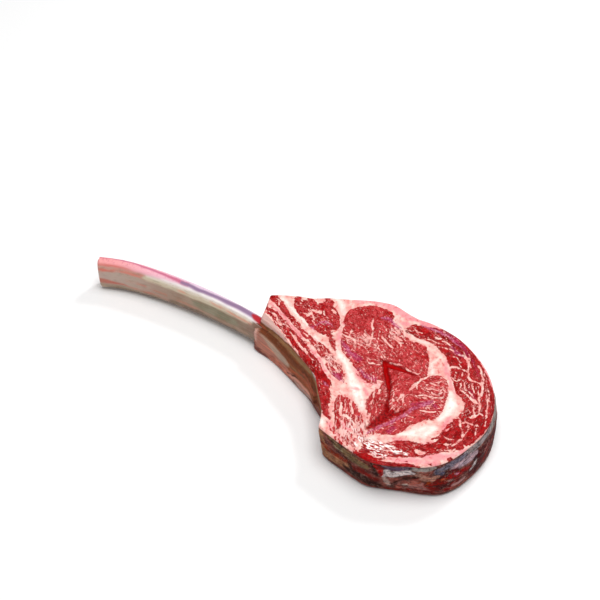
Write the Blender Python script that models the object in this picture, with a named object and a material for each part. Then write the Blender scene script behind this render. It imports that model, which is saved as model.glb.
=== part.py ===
"""A raw tomahawk steak: one thick cut of beef rib lying flat, on its long rib bone scraped clean.

The cut face looks up (+Z) and the steak lies on z = 0. The bare end of the rib points to -X.
Six muscles run through the cut from face to face. One web of fat wraps them, and the rib runs in
through the web's left end and along its bone side. Sizes are in millimetres until they are built.
"""
import math

import bmesh
import bpy
import numpy as np

MM = 0.001

# Driving dimensions, in millimetres
THICKNESS = 46.0        # of the cut, from face to face
BASE_ROUND = 2.5        # the lower edge tucks under by this much
RIM_ROUND = 2.0         # and the upper edge by this much
GAP = 0.3               # between a muscle or the bone and the fat round it
OUTLINE_STEP = 5.5      # along every outline
FACE_STEP = 8.0         # of the grid that lets the upper face swell and sink
STRIP_FLOOR = 40.0      # the outer rib muscle lies on top of the bone, above this height
CUTTER_CLEAR = 5.0      # how far a cutting shape stands out past a face
FACE_SHIFT = 0.37       # keeps the upper face's grid off the outlines' own points
SHARP_EDGE = 35.0       # degrees; edges sharper than this are shaded sharp

# The cut's rim, clockwise from its sharp left corner: x, y, how far the foot of the wall stands
# out past the rim there, and how far the wall bellies out half way up.
RIM = (
    (-33.4, 41.0, 2.0, 0.0),
    (-20.0, 47.0, 0.0, 1.0),
    (-8.0, 51.5, 0.0, 1.5),
    (4.0, 54.5, 0.0, 1.5),
    (15.0, 60.5, 0.0, 1.5),
    (28.0, 65.5, 0.0, 2.0),
    (42.0, 71.0, 0.0, 2.0),
    (58.0, 77.0, 0.0, 2.0),
    (74.0, 80.0, 0.0, 2.0),
    (86.0, 77.5, 0.0, 2.0),
    (99.0, 75.0, 0.0, 2.0),
    (113.0, 75.5, 0.0, 2.0),
    (128.0, 73.6, 0.0, 2.0),
    (142.0, 70.2, 0.0, 2.0),
    (156.0, 63.5, 0.0, 2.5),
    (168.0, 55.8, 0.0, 3.0),
    (179.0, 45.8, 0.0, 3.5),
    (188.0, 33.6, 1.5, 3.5),
    (194.5, 21.0, 4.0, 2.5),
    (198.0, 8.0, 4.5, 2.0),
    (199.0, -5.0, 4.5, 2.0),
    (197.0, -18.0, 4.5, 2.0),
    (192.5, -30.0, 5.5, 2.0),
    (186.5, -43.0, 6.0, 2.0),
    (178.0, -56.0, 4.5, 2.0),
    (165.0, -66.5, 0.0, 2.0),
    (150.0, -72.7, -2.0, 1.5),
    (135.0, -79.0, -3.5, 1.0),
    (120.0, -81.8, -2.5, 1.0),
    (105.0, -79.5, -2.0, 1.0),
    (90.0, -76.0, -2.5, 1.0),
    (78.0, -72.6, -2.0, 1.0),
    (67.5, -69.6, -4.0, 0.0),
    (65.2, -61.0, -6.5, 0.0),
    (62.5, -53.0, -8.0, 0.0),
    (56.5, -43.5, -6.5, 0.0),
    (50.0, -34.5, -2.5, -0.5),
    (44.0, -25.5, 1.5, -1.5),
    (36.0, -18.6, 2.5, -2.0),
    (23.0, -11.2, 3.5, -2.0),
    (9.0, -3.2, 4.5, -2.0),
    (-6.0, 4.2, 5.0, -2.0),
    (-18.0, 9.4, 6.0, -2.0),
    (-29.0, 12.5, 7.0, -1.0),
    (-30.5, 25.0, 4.5, 0.0),
)
RIM_CORNERS = (0, 32, 43)

# The wall from the foot up: height as a share of the thickness, share of the foot's reach, share
# of the belly, and how far the ring is drawn in.
WALL_RINGS = (
    (0.0, 1.0, 0.0, BASE_ROUND),
    (0.07, 0.95, 0.2, 0.0),
    (0.30, 0.7, 0.8, 0.0),
    (0.52, 0.48, 1.0, 0.0),
    (0.75, 0.22, 0.75, 0.0),
    (0.94, 0.05, 0.2, 0.0),
    (1.0, 0.0, 0.0, RIM_ROUND),
)

# Gentle swells and hollows of the upper face: x, y, radius, height.
SWELLS = (
    (62.0, 45.0, 30.0, 1.0),
    (105.0, 32.0, 26.0, 0.9),
    (142.0, -4.0, 26.0, 1.2),
    (98.0, -30.0, 16.0, 0.8),
    (182.0, 0.0, 26.0, 0.8),
    (130.0, 60.0, 24.0, 0.6),
    (15.0, 40.0, 20.0, 0.6),
    (84.0, -18.0, 16.0, -0.8),
    (150.0, -35.0, 14.0, -0.6),
    (92.0, -64.0, 18.0, -0.5),
)

RIBEYE = (
    (38.5, 54.0), (44.0, 62.0), (51.0, 68.0), (59.0, 71.5), (68.0, 72.5), (76.0, 70.5),
    (79.5, 66.5), (79.5, 62.0), (85.0, 58.5), (93.0, 55.0), (98.0, 51.5), (104.0, 49.0),
    (112.0, 50.0), (119.0, 48.5), (123.5, 43.0), (127.5, 35.0), (129.5, 27.0), (131.0, 21.0),
    (136.0, 22.5), (142.0, 26.0), (148.0, 24.5), (152.0, 18.0), (155.0, 10.0), (157.0, 1.0),
    (157.2, -9.0), (155.0, -18.0), (149.0, -22.0), (143.0, -27.5), (138.5, -32.5),
    (135.5, -39.5), (130.0, -47.0), (122.0, -50.5), (114.0, -54.5), (108.5, -57.0),
    (105.5, -50.0), (102.0, -41.5), (97.0, -33.0), (93.5, -25.0), (94.0, -17.0), (98.0, -11.0),
    (99.5, -4.0), (93.0, -6.5), (87.0, -8.0), (80.0, -5.0), (73.0, -1.0), (68.0, 3.0),
    (61.0, 6.0), (54.0, 11.0), (49.0, 17.0), (45.5, 24.0), (44.0, 32.0), (42.0, 40.0),
    (39.0, 47.0),
)
RIB_CAP = (
    (94.0, 60.5), (98.0, 65.5), (105.0, 68.5), (115.0, 70.0), (126.0, 70.5), (137.0, 69.0),
    (147.0, 65.0), (157.0, 59.0), (167.0, 51.5), (176.0, 42.5), (184.5, 32.0), (190.5, 20.0),
    (194.0, 8.0), (195.0, -4.0), (193.0, -16.0), (190.0, -25.0), (186.5, -33.0), (181.0, -40.0),
    (172.5, -46.0), (164.5, -52.5), (157.0, -60.0), (150.0, -64.5), (141.5, -68.5),
    (134.0, -73.5), (126.0, -77.5), (116.0, -78.0), (109.5, -75.5), (108.5, -71.0),
    (113.0, -66.5), (121.0, -62.0), (129.0, -56.0), (136.0, -50.5), (144.0, -47.5),
    (153.0, -45.5), (161.0, -41.0), (165.5, -34.0), (165.5, -26.0), (167.0, -17.0),
    (170.0, -9.0), (172.5, -1.0), (171.0, 8.0), (167.0, 12.5), (161.0, 14.5), (156.0, 22.0),
    (150.5, 29.0), (147.0, 36.0), (141.0, 43.0), (134.0, 48.5), (126.0, 53.0), (117.0, 55.5),
    (108.0, 54.5), (100.0, 55.5),
)
TAIL_MUSCLE = (
    (-11.5, 47.5), (-6.0, 46.0), (0.0, 50.0), (7.0, 52.0), (11.0, 50.0), (16.0, 57.5),
    (21.5, 58.5), (26.0, 53.0), (32.0, 50.0), (36.0, 43.5), (39.0, 37.0), (39.0, 31.0),
    (36.0, 26.0), (31.0, 21.5), (23.0, 21.5), (14.0, 24.5), (7.0, 28.5), (0.0, 31.5),
    (-6.0, 36.5), (-10.0, 43.0),
)
INNER_STRIP = (
    (-30.5, 39.8), (-26.0, 41.5), (-19.0, 38.0), (-10.0, 31.5), (0.0, 25.5), (9.0, 19.5),
    (19.0, 15.5), (30.0, 10.5), (38.0, 6.5), (45.0, 2.0), (54.0, -4.5), (62.0, -11.0),
    (66.5, -16.5), (62.0, -17.0), (53.0, -13.0), (44.0, -5.5), (33.0, 2.0), (22.0, 8.0),
    (12.0, 13.5), (0.0, 19.5), (-10.0, 25.0), (-20.0, 31.0), (-28.0, 36.0),
)
OUTER_STRIP = (
    (-28.0, 27.5), (-22.0, 26.5), (-8.0, 20.5), (6.0, 12.5), (18.0, 6.0), (30.0, -2.0),
    (42.0, -11.5), (52.0, -16.5), (58.0, -23.0), (62.0, -32.0), (66.5, -43.0), (71.0, -56.0),
    (66.0, -54.0), (60.0, -45.5), (53.5, -36.0), (47.5, -26.5), (38.0, -17.0), (24.0, -9.0),
    (10.0, -1.0), (-5.0, 8.0), (-16.0, 16.0), (-27.0, 21.5),
)
CHINE_MUSCLE = (
    (70.5, -34.0), (76.5, -30.0), (83.0, -31.5), (90.0, -37.0), (97.0, -42.5), (101.0, -49.0),
    (103.5, -57.0), (103.5, -65.0), (106.0, -73.0), (102.0, -75.5), (93.0, -73.5),
    (86.0, -70.0), (81.0, -64.0), (77.5, -57.0), (73.0, -50.0), (70.5, -42.0),
)

# The rib's line from the sawn tip to where it ends beside the chine: x, y, height of its middle,
# half of its thickness, half of its height.
RIB_LINE = (
    (-200.0, 12.0, 20.0, 7.0, 19.4),
    (-178.0, 18.6, 20.0, 7.0, 19.0),
    (-150.0, 22.2, 20.0, 6.9, 18.8),
    (-115.0, 23.5, 20.2, 6.8, 18.4),
    (-80.0, 22.4, 20.5, 6.8, 17.7),
    (-45.0, 18.6, 20.8, 6.8, 17.0),
    (-19.0, 13.2, 21.0, 6.8, 16.6),
    (2.0, 5.0, 21.0, 6.6, 16.2),
    (21.0, -4.6, 21.0, 6.2, 15.2),
    (38.0, -14.6, 21.0, 5.6, 13.5),
    (50.5, -29.5, 21.0, 4.6, 10.5),
)
RIB_STEP = 11.0         # between the rib's sections
RIB_SIDES = 20          # points round a section
RIB_SQUARENESS = 3.1    # 2 is an ellipse; more is nearer to a rounded bar
RIB_BEVEL = 1.2         # on the sawn tip and on the inner end

# The crevice where the ribeye's bundles part: x, y, half width and depth along each branch.
CREVICES = (
    ((118.0, 15.0, 0.6, 1.0), (106.0, 16.0, 1.4, 3.0), (93.0, 15.0, 2.4, 4.5),
     (98.0, 4.0, 2.4, 4.5), (104.0, -9.0, 1.8, 4.0), (110.0, -24.0, 1.6, 3.5),
     (113.0, -40.0, 1.0, 2.0)),
    ((116.5, -40.0, 1.2, 2.0), (121.0, -32.5, 1.8, 3.5), (126.0, -24.5, 1.6, 3.5),
     (131.5, -14.0, 0.6, 1.0)),
)
CREVICE_FLARE = 2.5     # how much wider a crevice would be well above the face

# The front of the cut leans back: its lower face lies further in than its upper one.
LEAN_BACK = 6.0         # how far, at the very front
LEAN_FROM = -25.0       # the y where it starts
LEAN_DEPTH = 42.0       # and how much further forward it is whole


def hermite(start, end, leave, arrive, share):
    """A point on the smooth curve between two rows, a share of the way along."""
    s2, s3 = share ** 2, share ** 3
    return ((2 * s3 - 3 * s2 + 1) * start + (s3 - 2 * s2 + share) * leave
            + (3 * s2 - 2 * s3) * end + (s3 - s2) * arrive)


def smooth(rows, step, closed=True, corners=()):
    """Rows of numbers, read every step along a smooth curve through the rows; corners stay sharp."""
    rows = np.array(rows, float)
    ahead, behind = np.roll(rows, -1, axis=0), np.roll(rows, 1, axis=0)
    if not closed:
        ahead[-1], behind[0] = rows[-1], rows[0]
    tangents = (ahead - behind) / 2
    tangents[list(corners)] = 0
    result = []
    for i in range(len(rows) if closed else len(rows) - 1):
        j = (i + 1) % len(rows)
        pieces = max(1, round(math.dist(rows[i][:2], rows[j][:2]) / step))
        for k in range(pieces):
            result.append(hermite(rows[i], rows[j], tangents[i], tangents[j], k / pieces))
    if not closed:
        result.append(rows[-1])
    return np.array(result)


def outward(outline):
    """The outward direction in plan at each point of a clockwise outline."""
    points = outline[:, :2]
    along = np.roll(points, -1, axis=0) - points
    along /= np.linalg.norm(along, axis=1, keepdims=True)
    sides = np.stack([-along[:, 1], along[:, 0]], axis=1)
    both = sides + np.roll(sides, 1, axis=0)
    return 2 * both / np.maximum((both ** 2).sum(axis=1, keepdims=True), 1.0)


def grown(outline, distance):
    """A clockwise outline moved out by a distance."""
    return outline[:, :2] + outward(outline) * distance


def leaned(points, height):
    """Points of the upper face, carried down to a height along the meat's lean."""
    share = np.clip((LEAN_FROM - points[:, 1]) / LEAN_DEPTH, 0, 1)
    moved = points[:, :2].copy()
    moved[:, 1] += LEAN_BACK * share ** 2 * (3 - 2 * share) * (1 - height / THICKNESS)
    return moved


def face_height(x, y):
    """The height of the upper cut face."""
    height = THICKNESS
    for swell_x, swell_y, radius, rise in SWELLS:
        height += rise * math.exp(-((x - swell_x) ** 2 + (y - swell_y) ** 2) / radius ** 2)
    return height


def ring_of(bm, points, height):
    """A closed ring of vertices at one height."""
    return [bm.verts.new((x * MM, y * MM, height * MM)) for x, y in points]


def skin(bm, rings):
    """Walls between rings of equal count, whose outlines run clockwise, from the lowest up."""
    for lower, upper in zip(rings, rings[1:]):
        for i in range(len(lower)):
            j = (i + 1) % len(lower)
            bm.faces.new((lower[i], upper[i], upper[j], lower[j]))


def cap_ends(bm, rings):
    """Close the lowest and the highest ring; returns the upper face."""
    bm.faces.new(rings[0])
    return bm.faces.new(tuple(reversed(rings[-1])))


def swell_face(bm, top):
    """Divide the flat upper face by a grid, and give each of its points the face's height."""
    bm.normal_update()
    level = THICKNESS * MM - 1e-6
    low = [min(v.co[i] for v in top.verts) / MM for i in (0, 1)]
    high = [max(v.co[i] for v in top.verts) / MM for i in (0, 1)]
    for axis, normal in ((0, (1, 0, 0)), (1, (0, 1, 0))):
        first = math.ceil(low[axis] / FACE_STEP)
        last = math.floor(high[axis] / FACE_STEP)
        for k in range(first, last + 1):
            upper = [f for f in bm.faces if all(v.co.z > level for v in f.verts)]
            parts = set(upper)
            for face in upper:
                parts.update(face.edges)
                parts.update(face.verts)
            place = [0.0, 0.0, 0.0]
            place[axis] = (k * FACE_STEP + FACE_SHIFT) * MM
            bmesh.ops.bisect_plane(bm, geom=list(parts), dist=1e-6, plane_co=place, plane_no=normal)
    for vert in bm.verts:
        if vert.co.z > level:
            vert.co.z = face_height(vert.co.x / MM, vert.co.y / MM) * MM


def material(name, colour, roughness):
    """A plain material with the piece's own colour."""
    made = bpy.data.materials.new(name)
    made.use_nodes = True
    shader = made.node_tree.nodes["Principled BSDF"]
    shader.inputs["Base Color"].default_value = (*colour, 1)
    shader.inputs["Roughness"].default_value = roughness
    shader.inputs["Metallic"].default_value = 0.0
    return made


def finish(bm, name, made=None):
    """Turn a bmesh into a named object."""
    bmesh.ops.triangulate(bm, faces=bm.faces[:])
    bmesh.ops.recalc_face_normals(bm, faces=bm.faces[:])
    mesh = bpy.data.meshes.new(name)
    bm.to_mesh(mesh)
    bm.free()
    mesh.shade_smooth()
    mesh.set_sharp_from_angle(angle=math.radians(SHARP_EDGE))
    if made:
        mesh.materials.append(made)
    piece = bpy.data.objects.new(name, mesh)
    bpy.context.scene.collection.objects.link(piece)
    return piece


def slab(name, made):
    """The whole cut, with its leaning, bellied wall and its rounded edges."""
    rim = smooth(RIM, OUTLINE_STEP, corners=RIM_CORNERS)
    away = outward(rim)
    bm = bmesh.new()
    rings = []
    for height, foot_share, belly_share, inset in WALL_RINGS:
        reach = rim[:, 2] * foot_share + rim[:, 3] * belly_share - inset
        rings.append(ring_of(bm, rim[:, :2] + away * reach[:, None], height * THICKNESS))
    skin(bm, rings)
    swell_face(bm, cap_ends(bm, rings))
    return finish(bm, name, made)


def muscle(name, outline, made, floor=0.0):
    """A muscle that runs up through the cut to its upper face."""
    loop = smooth(outline, OUTLINE_STEP)
    bm = bmesh.new()
    rings = [ring_of(bm, leaned(loop, height), height) for height in (floor, THICKNESS)]
    skin(bm, rings)
    swell_face(bm, cap_ends(bm, rings))
    return finish(bm, name, made)


def hide_as_cutter(piece):
    """Keep a cutting shape out of the model."""
    piece.hide_render = True
    piece.display_type = "WIRE"
    return piece


def channel(name, outline, floor=-CUTTER_CLEAR):
    """The cutter that clears a muscle's place in the fat, a gap wider than the muscle."""
    loop = smooth(outline, OUTLINE_STEP)
    bm = bmesh.new()
    rings = [ring_of(bm, grown(leaned(loop, height), GAP), height)
             for height in (floor, THICKNESS + CUTTER_CLEAR)]
    skin(bm, rings)
    cap_ends(bm, rings)
    return hide_as_cutter(finish(bm, name))


def rib(name, made=None, margin=0.0):
    """The rib bone: a flat bar with round edges, swept along its curve."""
    rows = smooth(RIB_LINE, RIB_STEP, closed=False)
    along = np.gradient(rows[:, :2], axis=0)
    along /= np.linalg.norm(along, axis=1, keepdims=True)
    tip, inner = rows[0].copy(), rows[-1].copy()
    tip[:2] -= along[0] * margin
    inner[:2] += along[-1] * margin
    rows[0][:2] += along[0] * RIB_BEVEL
    rows[-1][:2] -= along[-1] * RIB_BEVEL
    tip[3:] -= RIB_BEVEL
    inner[3:] -= RIB_BEVEL
    rows = np.vstack([tip, rows, inner])
    along = np.vstack([along[:1], along, along[-1:]])
    bm = bmesh.new()
    rings = []
    for (x, y, middle, half_thick, half_high), (ahead_x, ahead_y) in zip(rows, along):
        ring = []
        for k in range(RIB_SIDES):
            angle = 2 * math.pi * (k + 0.5) / RIB_SIDES
            across = math.copysign(abs(math.cos(angle)) ** (2 / RIB_SQUARENESS), math.cos(angle))
            up = math.copysign(abs(math.sin(angle)) ** (2 / RIB_SQUARENESS), math.sin(angle))
            across *= half_thick + margin
            up *= half_high + margin
            ring.append(bm.verts.new(((x - ahead_y * across) * MM, (y + ahead_x * across) * MM,
                                      (middle + up) * MM)))
        rings.append(ring)
    skin(bm, rings)
    cap_ends(bm, rings)
    return finish(bm, name, made)


def crevice(name, branch):
    """A wedge that follows one branch of the crevice, point down."""
    rows = smooth(branch, OUTLINE_STEP, closed=False)
    along = np.gradient(rows[:, :2], axis=0)
    along /= np.linalg.norm(along, axis=1, keepdims=True)
    top = THICKNESS + CUTTER_CLEAR
    bm = bmesh.new()
    rings = []
    for (x, y, half_width, depth), (ahead_x, ahead_y) in zip(rows, along):
        side = half_width * CREVICE_FLARE
        floor = face_height(x, y) - depth
        rings.append([bm.verts.new((px * MM, py * MM, pz * MM)) for px, py, pz in (
            (x - ahead_y * side, y + ahead_x * side, top),
            (x + ahead_y * side, y - ahead_x * side, top),
            (x, y, floor))])
    skin(bm, rings)
    cap_ends(bm, rings)
    return hide_as_cutter(finish(bm, name))


def cut(piece, cutters, name):
    """Cut a group of shapes out of a piece."""
    group = bpy.data.collections.new(name)
    for cutter in cutters:
        bpy.context.scene.collection.objects.unlink(cutter)
        group.objects.link(cutter)
    bpy.context.scene.collection.children.link(group)
    modifier = piece.modifiers.new(name, "BOOLEAN")
    modifier.operation = "DIFFERENCE"
    modifier.solver = "EXACT"
    modifier.operand_type = "COLLECTION"
    modifier.collection = group


for old in list(bpy.data.objects):
    bpy.data.objects.remove(old)

LEAN = material("lean", (0.42, 0.012, 0.016), 0.35)
DARK_LEAN = material("dark_lean", (0.30, 0.006, 0.010), 0.35)
FAT = material("fat", (0.86, 0.56, 0.50), 0.42)
BONE = material("bone", (0.55, 0.45, 0.34), 0.4)

MUSCLES = (
    ("ribeye", RIBEYE, LEAN, 0.0),
    ("rib_cap", RIB_CAP, DARK_LEAN, 0.0),
    ("tail_muscle", TAIL_MUSCLE, LEAN, 0.0),
    ("intercostal_inner", INNER_STRIP, LEAN, 0.0),
    ("intercostal_outer", OUTER_STRIP, LEAN, STRIP_FLOOR),
    ("chine_muscle", CHINE_MUSCLE, LEAN, 0.0),
)
made_muscles = {name: muscle(name, *rest) for name, *rest in MUSCLES}
channels = [channel(name + "_channel", outline, floor - GAP if floor else -CUTTER_CLEAR)
            for name, outline, _, floor in MUSCLES]
cut(made_muscles["ribeye"],
    [crevice(f"crevice_{i}", branch) for i, branch in enumerate(CREVICES)], "crevices")
rib("rib_bone", BONE)
bone_channel = hide_as_cutter(rib("bone_channel", margin=GAP))
cut(slab("fat_web", FAT), channels + [bone_channel], "channels")
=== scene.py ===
"""Looks of a raw tomahawk steak: the wet cut face, its marbling, the dried sides, the bare rib."""
import math

import bmesh
import bpy
import numpy as np
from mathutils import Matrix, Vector, noise
from mathutils.bvhtree import BVHTree


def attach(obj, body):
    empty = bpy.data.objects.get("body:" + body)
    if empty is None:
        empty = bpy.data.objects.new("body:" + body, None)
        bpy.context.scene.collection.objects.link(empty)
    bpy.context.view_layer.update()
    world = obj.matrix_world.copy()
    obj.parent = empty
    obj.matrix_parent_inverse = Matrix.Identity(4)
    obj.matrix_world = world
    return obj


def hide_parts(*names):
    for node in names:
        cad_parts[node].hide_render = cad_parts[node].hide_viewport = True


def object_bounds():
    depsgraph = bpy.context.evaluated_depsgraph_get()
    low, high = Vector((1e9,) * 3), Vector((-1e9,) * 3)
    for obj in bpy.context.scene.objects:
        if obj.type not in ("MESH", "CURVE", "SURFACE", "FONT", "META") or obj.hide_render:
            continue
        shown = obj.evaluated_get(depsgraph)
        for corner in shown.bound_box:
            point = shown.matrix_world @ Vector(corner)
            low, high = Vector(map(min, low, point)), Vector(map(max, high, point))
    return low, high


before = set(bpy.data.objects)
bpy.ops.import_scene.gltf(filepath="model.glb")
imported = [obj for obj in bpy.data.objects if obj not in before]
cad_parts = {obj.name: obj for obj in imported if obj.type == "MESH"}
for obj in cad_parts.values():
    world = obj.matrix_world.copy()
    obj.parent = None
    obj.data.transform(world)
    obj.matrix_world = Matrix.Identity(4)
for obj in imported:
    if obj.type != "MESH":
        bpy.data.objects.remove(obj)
cad_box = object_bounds()

# ---------------------------------------------------------------------------------------------
# The flesh: one slab of beef rib, sliced across the grain with a knife, so that all of its muscles
# show their end grain. Muscle, fat and silverskin are grown together, so they are one closed skin
# of mesh, whose rim, wall and foot follow the CAD's fat web.
# ---------------------------------------------------------------------------------------------
MM = 0.001
MUSCLES = ("ribeye", "rib_cap", "tail_muscle", "intercostal_inner", "intercostal_outer",
           "chine_muscle")
HEART = np.array((85.0, 5.0))       # a place on the face from which all of the rim can be seen
LEFT_END = 169.5                    # degrees, the direction from there to the left end's middle
FACE_LONG, FACE_WIDE = 236, 164     # squares along and across the upper face, about 1 mm each
WALL_RINGS, BASE_RINGS = 38, 24
THICK = 46.0                        # height of the cut face
RIM_RADIUS, FOOT_RADIUS = 1.6, 3.2  # of the knife-cut upper edge and of the lower one
CROWDING = 0.055                    # how much the rings of the wall crowd at its two edges
WALL_LEVELS = (3.5, 10.0, 17.0, 24.0, 31.0, 36.0, 39.5, 44.0)     # heights where the CAD wall is read
RAYS, OUTSIDE = 2400, 175.0         # looking in at the wall from 175 mm away
RIB_TOP = 38.0                      # no ray looks for the rib above this height
SHEATH_END, SHEATH_SKEW = -34.0, 2.5    # where the membrane round the rib is cut off; further at its foot
SHEATH, SHEATH_LEAST = 1.4, 1.0     # how far out it lies, before the wall is softened and after


def tree_of(name):
    """A search tree of the faces of a CAD node, in mm."""
    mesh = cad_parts[name].data
    return BVHTree.FromPolygons([v.co / MM for v in mesh.vertices],
                                [tuple(p.vertices) for p in mesh.polygons])


def softened(values, width):
    """A closed loop of rows, blurred along the loop."""
    reach = int(width * 3)
    weights = np.exp(-0.5 * (np.arange(-reach, reach + 1) / width) ** 2)
    padded = np.pad(values, [(reach, reach), (0, 0)], mode="wrap")
    return np.apply_along_axis(lambda row: np.convolve(row, weights / weights.sum(), "valid"),
                               0, padded)


def eased(value, low, high):
    """0 below low, 1 above high, and a smooth step between."""
    share = np.clip((value - low) / (high - low), 0, 1)
    return share * share * (3 - 2 * share)


def extruded(bm, edges):
    """One more ring of faces outside the open edges: its new corners, and its own open edges."""
    made = bmesh.ops.extrude_edge_only(bm, edges=edges)["geom"]
    corners = [v for v in made if isinstance(v, bmesh.types.BMVert)]
    return corners, [e for e in made if isinstance(e, bmesh.types.BMEdge) and e.is_boundary]


def mesh_of(bm, name):
    """A bmesh, made into a mesh."""
    mesh = bpy.data.meshes.new(name)
    bm.to_mesh(mesh)
    bm.free()
    return mesh


def corners_of(mesh):
    """Where the corners of a mesh are, a row for each."""
    flat = np.zeros(len(mesh.vertices) * 3)
    mesh.vertices.foreach_get("co", flat)
    return flat.reshape(-1, 3)


def placed(name, data):
    """A new object in the scene."""
    made = bpy.data.objects.new(name, data)
    bpy.context.scene.collection.objects.link(made)
    return made


web = tree_of("fat_web")
rib = tree_of("rib_bone")
angles = np.radians(LEFT_END) - np.linspace(0, 2 * math.pi, RAYS, endpoint=False)
rays = np.stack([np.cos(angles), np.sin(angles)], axis=1)
levels = np.array(WALL_LEVELS)
reach = np.zeros((RAYS, len(levels)))
over_rib = np.zeros((RAYS, len(levels)))
for i, (ray_x, ray_y) in enumerate(rays):
    inwards = Vector((-ray_x, -ray_y, 0))
    for j, level in enumerate(levels):
        start = Vector((HEART[0] + ray_x * OUTSIDE, HEART[1] + ray_y * OUTSIDE, level))
        reach[i, j] = OUTSIDE - web.ray_cast(start, inwards)[3]
        start.z = min(level, RIB_TOP)
        hit_at, _, _, distance = rib.ray_cast(start, inwards)
        # the membrane wraps the rib up to here, where it has been cut round
        sheathed = hit_at and hit_at.x > SHEATH_END - SHEATH_SKEW * eased(THICK - level, 6, 30)
        over_rib[i, j] = OUTSIDE - distance if sheathed else 0
# Where the rib lies in the wall the fat is cut away; the membrane runs straight over it there.
straight = reach[:, :1] + (reach[:, -1:] - reach[:, :1]) * (levels - levels[0]) / np.ptp(levels)
reach = softened(np.maximum(np.maximum(reach, straight), over_rib + SHEATH), 3)
reach = np.maximum(reach, np.where(over_rib > 0, over_rib + SHEATH_LEAST, 0))

rim_line = HEART + rays * reach[:, -1:]
steps = np.linalg.norm(np.roll(rim_line, -1, axis=0) - rim_line, axis=1)
travelled = np.concatenate([[0], np.cumsum(steps)]) / steps.sum()


def round_the_rim(share, column):
    """A quantity of the rim, at a share of the way round it, clockwise from the left end."""
    return np.interp(share % 1.0, travelled, np.concatenate([column, column[:1]]))


bm = bmesh.new()
bmesh.ops.create_grid(bm, x_segments=FACE_LONG, y_segments=FACE_WIDE, size=1)
open_edges = [e for e in bm.edges if e.is_boundary]
ring_sizes = [1.0] * WALL_RINGS + [1 - (k + 1) / BASE_RINGS for k in range(BASE_RINGS)]
for k, ring_size in enumerate(ring_sizes):
    ring, open_edges = extruded(bm, open_edges)
    shrink = ring_size / (ring_sizes[k - 1] if k else 1.0)
    bmesh.ops.scale(bm, vec=(shrink, shrink, 1), verts=ring)
    if k < WALL_RINGS:
        bmesh.ops.translate(bm, vec=(0, 0, -1), verts=ring)
bmesh.ops.remove_doubles(bm, verts=ring, dist=1e-5)
bmesh.ops.recalc_face_normals(bm, faces=bm.faces[:])
flesh_mesh = mesh_of(bm, "flesh")

# Now the square grid is laid on the cut: its sides on the rim, its middle on the heart.
plan = corners_of(flesh_mesh)
count = len(plan)
ring_number = -plan[:, 2]
size = np.abs(plan[:, :2]).max(axis=1)
su, sv = (plan[:, :2] / np.where(size > 0, size, 1)[:, None]).T
half_wide = FACE_WIDE / 2
along_edge = np.select(
    [(su <= -1 + 1e-6) & (sv >= 0), sv >= 1 - 1e-6, su >= 1 - 1e-6, sv <= -1 + 1e-6],
    [sv * half_wide, half_wide + (su + 1) / 2 * FACE_LONG,
     half_wide + FACE_LONG + (1 - sv) / 2 * FACE_WIDE,
     half_wide + FACE_LONG + FACE_WIDE + (1 - su) / 2 * FACE_LONG],
    half_wide + 2 * FACE_LONG + FACE_WIDE + (sv + 1) * half_wide)
share = along_edge / (2 * (FACE_LONG + FACE_WIDE))
way = np.stack([round_the_rim(share, rays[:, 0]), round_the_rim(share, rays[:, 1])], axis=1)
way /= np.linalg.norm(way, axis=1, keepdims=True)
on_face, on_base = ring_number < 0.5, ring_number > WALL_RINGS - 0.5
on_wall = ~on_face & ~on_base

fall = np.clip(ring_number / WALL_RINGS, 0, 1)
height = THICK * (1 - fall + CROWDING * np.sin(2 * math.pi * fall))
level_reach = np.stack([round_the_rim(share, reach[:, j]) for j in range(len(levels))], axis=1)
spot = np.interp(height, levels, np.arange(len(levels)))
low = np.minimum(spot.astype(int), len(levels) - 2)
rows = np.arange(count)
wall_reach = (level_reach[rows, low] * (low + 1 - spot) + level_reach[rows, low + 1] * (spot - low))


def rounding(depth, radius):
    """How far a rounded edge is drawn in at a depth past its start."""
    left = np.clip(radius - depth, 0, radius)
    return radius - np.sqrt(radius ** 2 - left ** 2)


wall_reach -= rounding(THICK - height, RIM_RADIUS) + rounding(height, FOOT_RADIUS)
place = np.zeros((count, 3))
place[:, :2] = HEART + way * (wall_reach * np.where(on_wall, 1.0, size))[:, None]
place[:, 2] = height

# What lies where in the cut: the muscles, the seams of fat and silverskin that run through them,
# and the crevice where two bundles of the ribeye part. Each is a distance in mm, more than
# nothing inside, and goes to the material as an attribute of the mesh.
LEAN_BACK, LEAN_FROM, LEAN_DEPTH = 6.0, -25.0, 42.0     # the front of the cut leans back


def cloud(points, grain, seed=0.0):
    """Smooth noise from -1 to 1 at points, with lumps of about a grain, in mm."""
    grains = np.array(grain, float) * np.ones(3)
    return np.array([noise.noise(Vector(p)) for p in points / grains + seed])


def nearest_on(line_start, line_end, points):
    """For each point, the share of the way along a line where it is nearest, and how near it is."""
    along = line_end - line_start
    t = np.clip((points - line_start) @ along / (along @ along), 0, 1)
    return t, np.linalg.norm(points - line_start - t[:, None] * along, axis=1)


def stroke(points, rows):
    """How far inside a brush stroke points lie. Each row is a place, then the half width there."""
    rows = np.array(rows, float)
    best = np.full(len(points), -1e3)
    for a, b in zip(rows, rows[1:]):
        t, gap = nearest_on(a[:-1], b[:-1], points[:, :len(a) - 1])
        best = np.maximum(best, a[-1] + (b[-1] - a[-1]) * t - gap)
    return best


def strokes(points, several):
    """How far inside the nearest of several strokes points lie."""
    return np.max([stroke(points, rows) for rows in several], axis=0)


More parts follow.
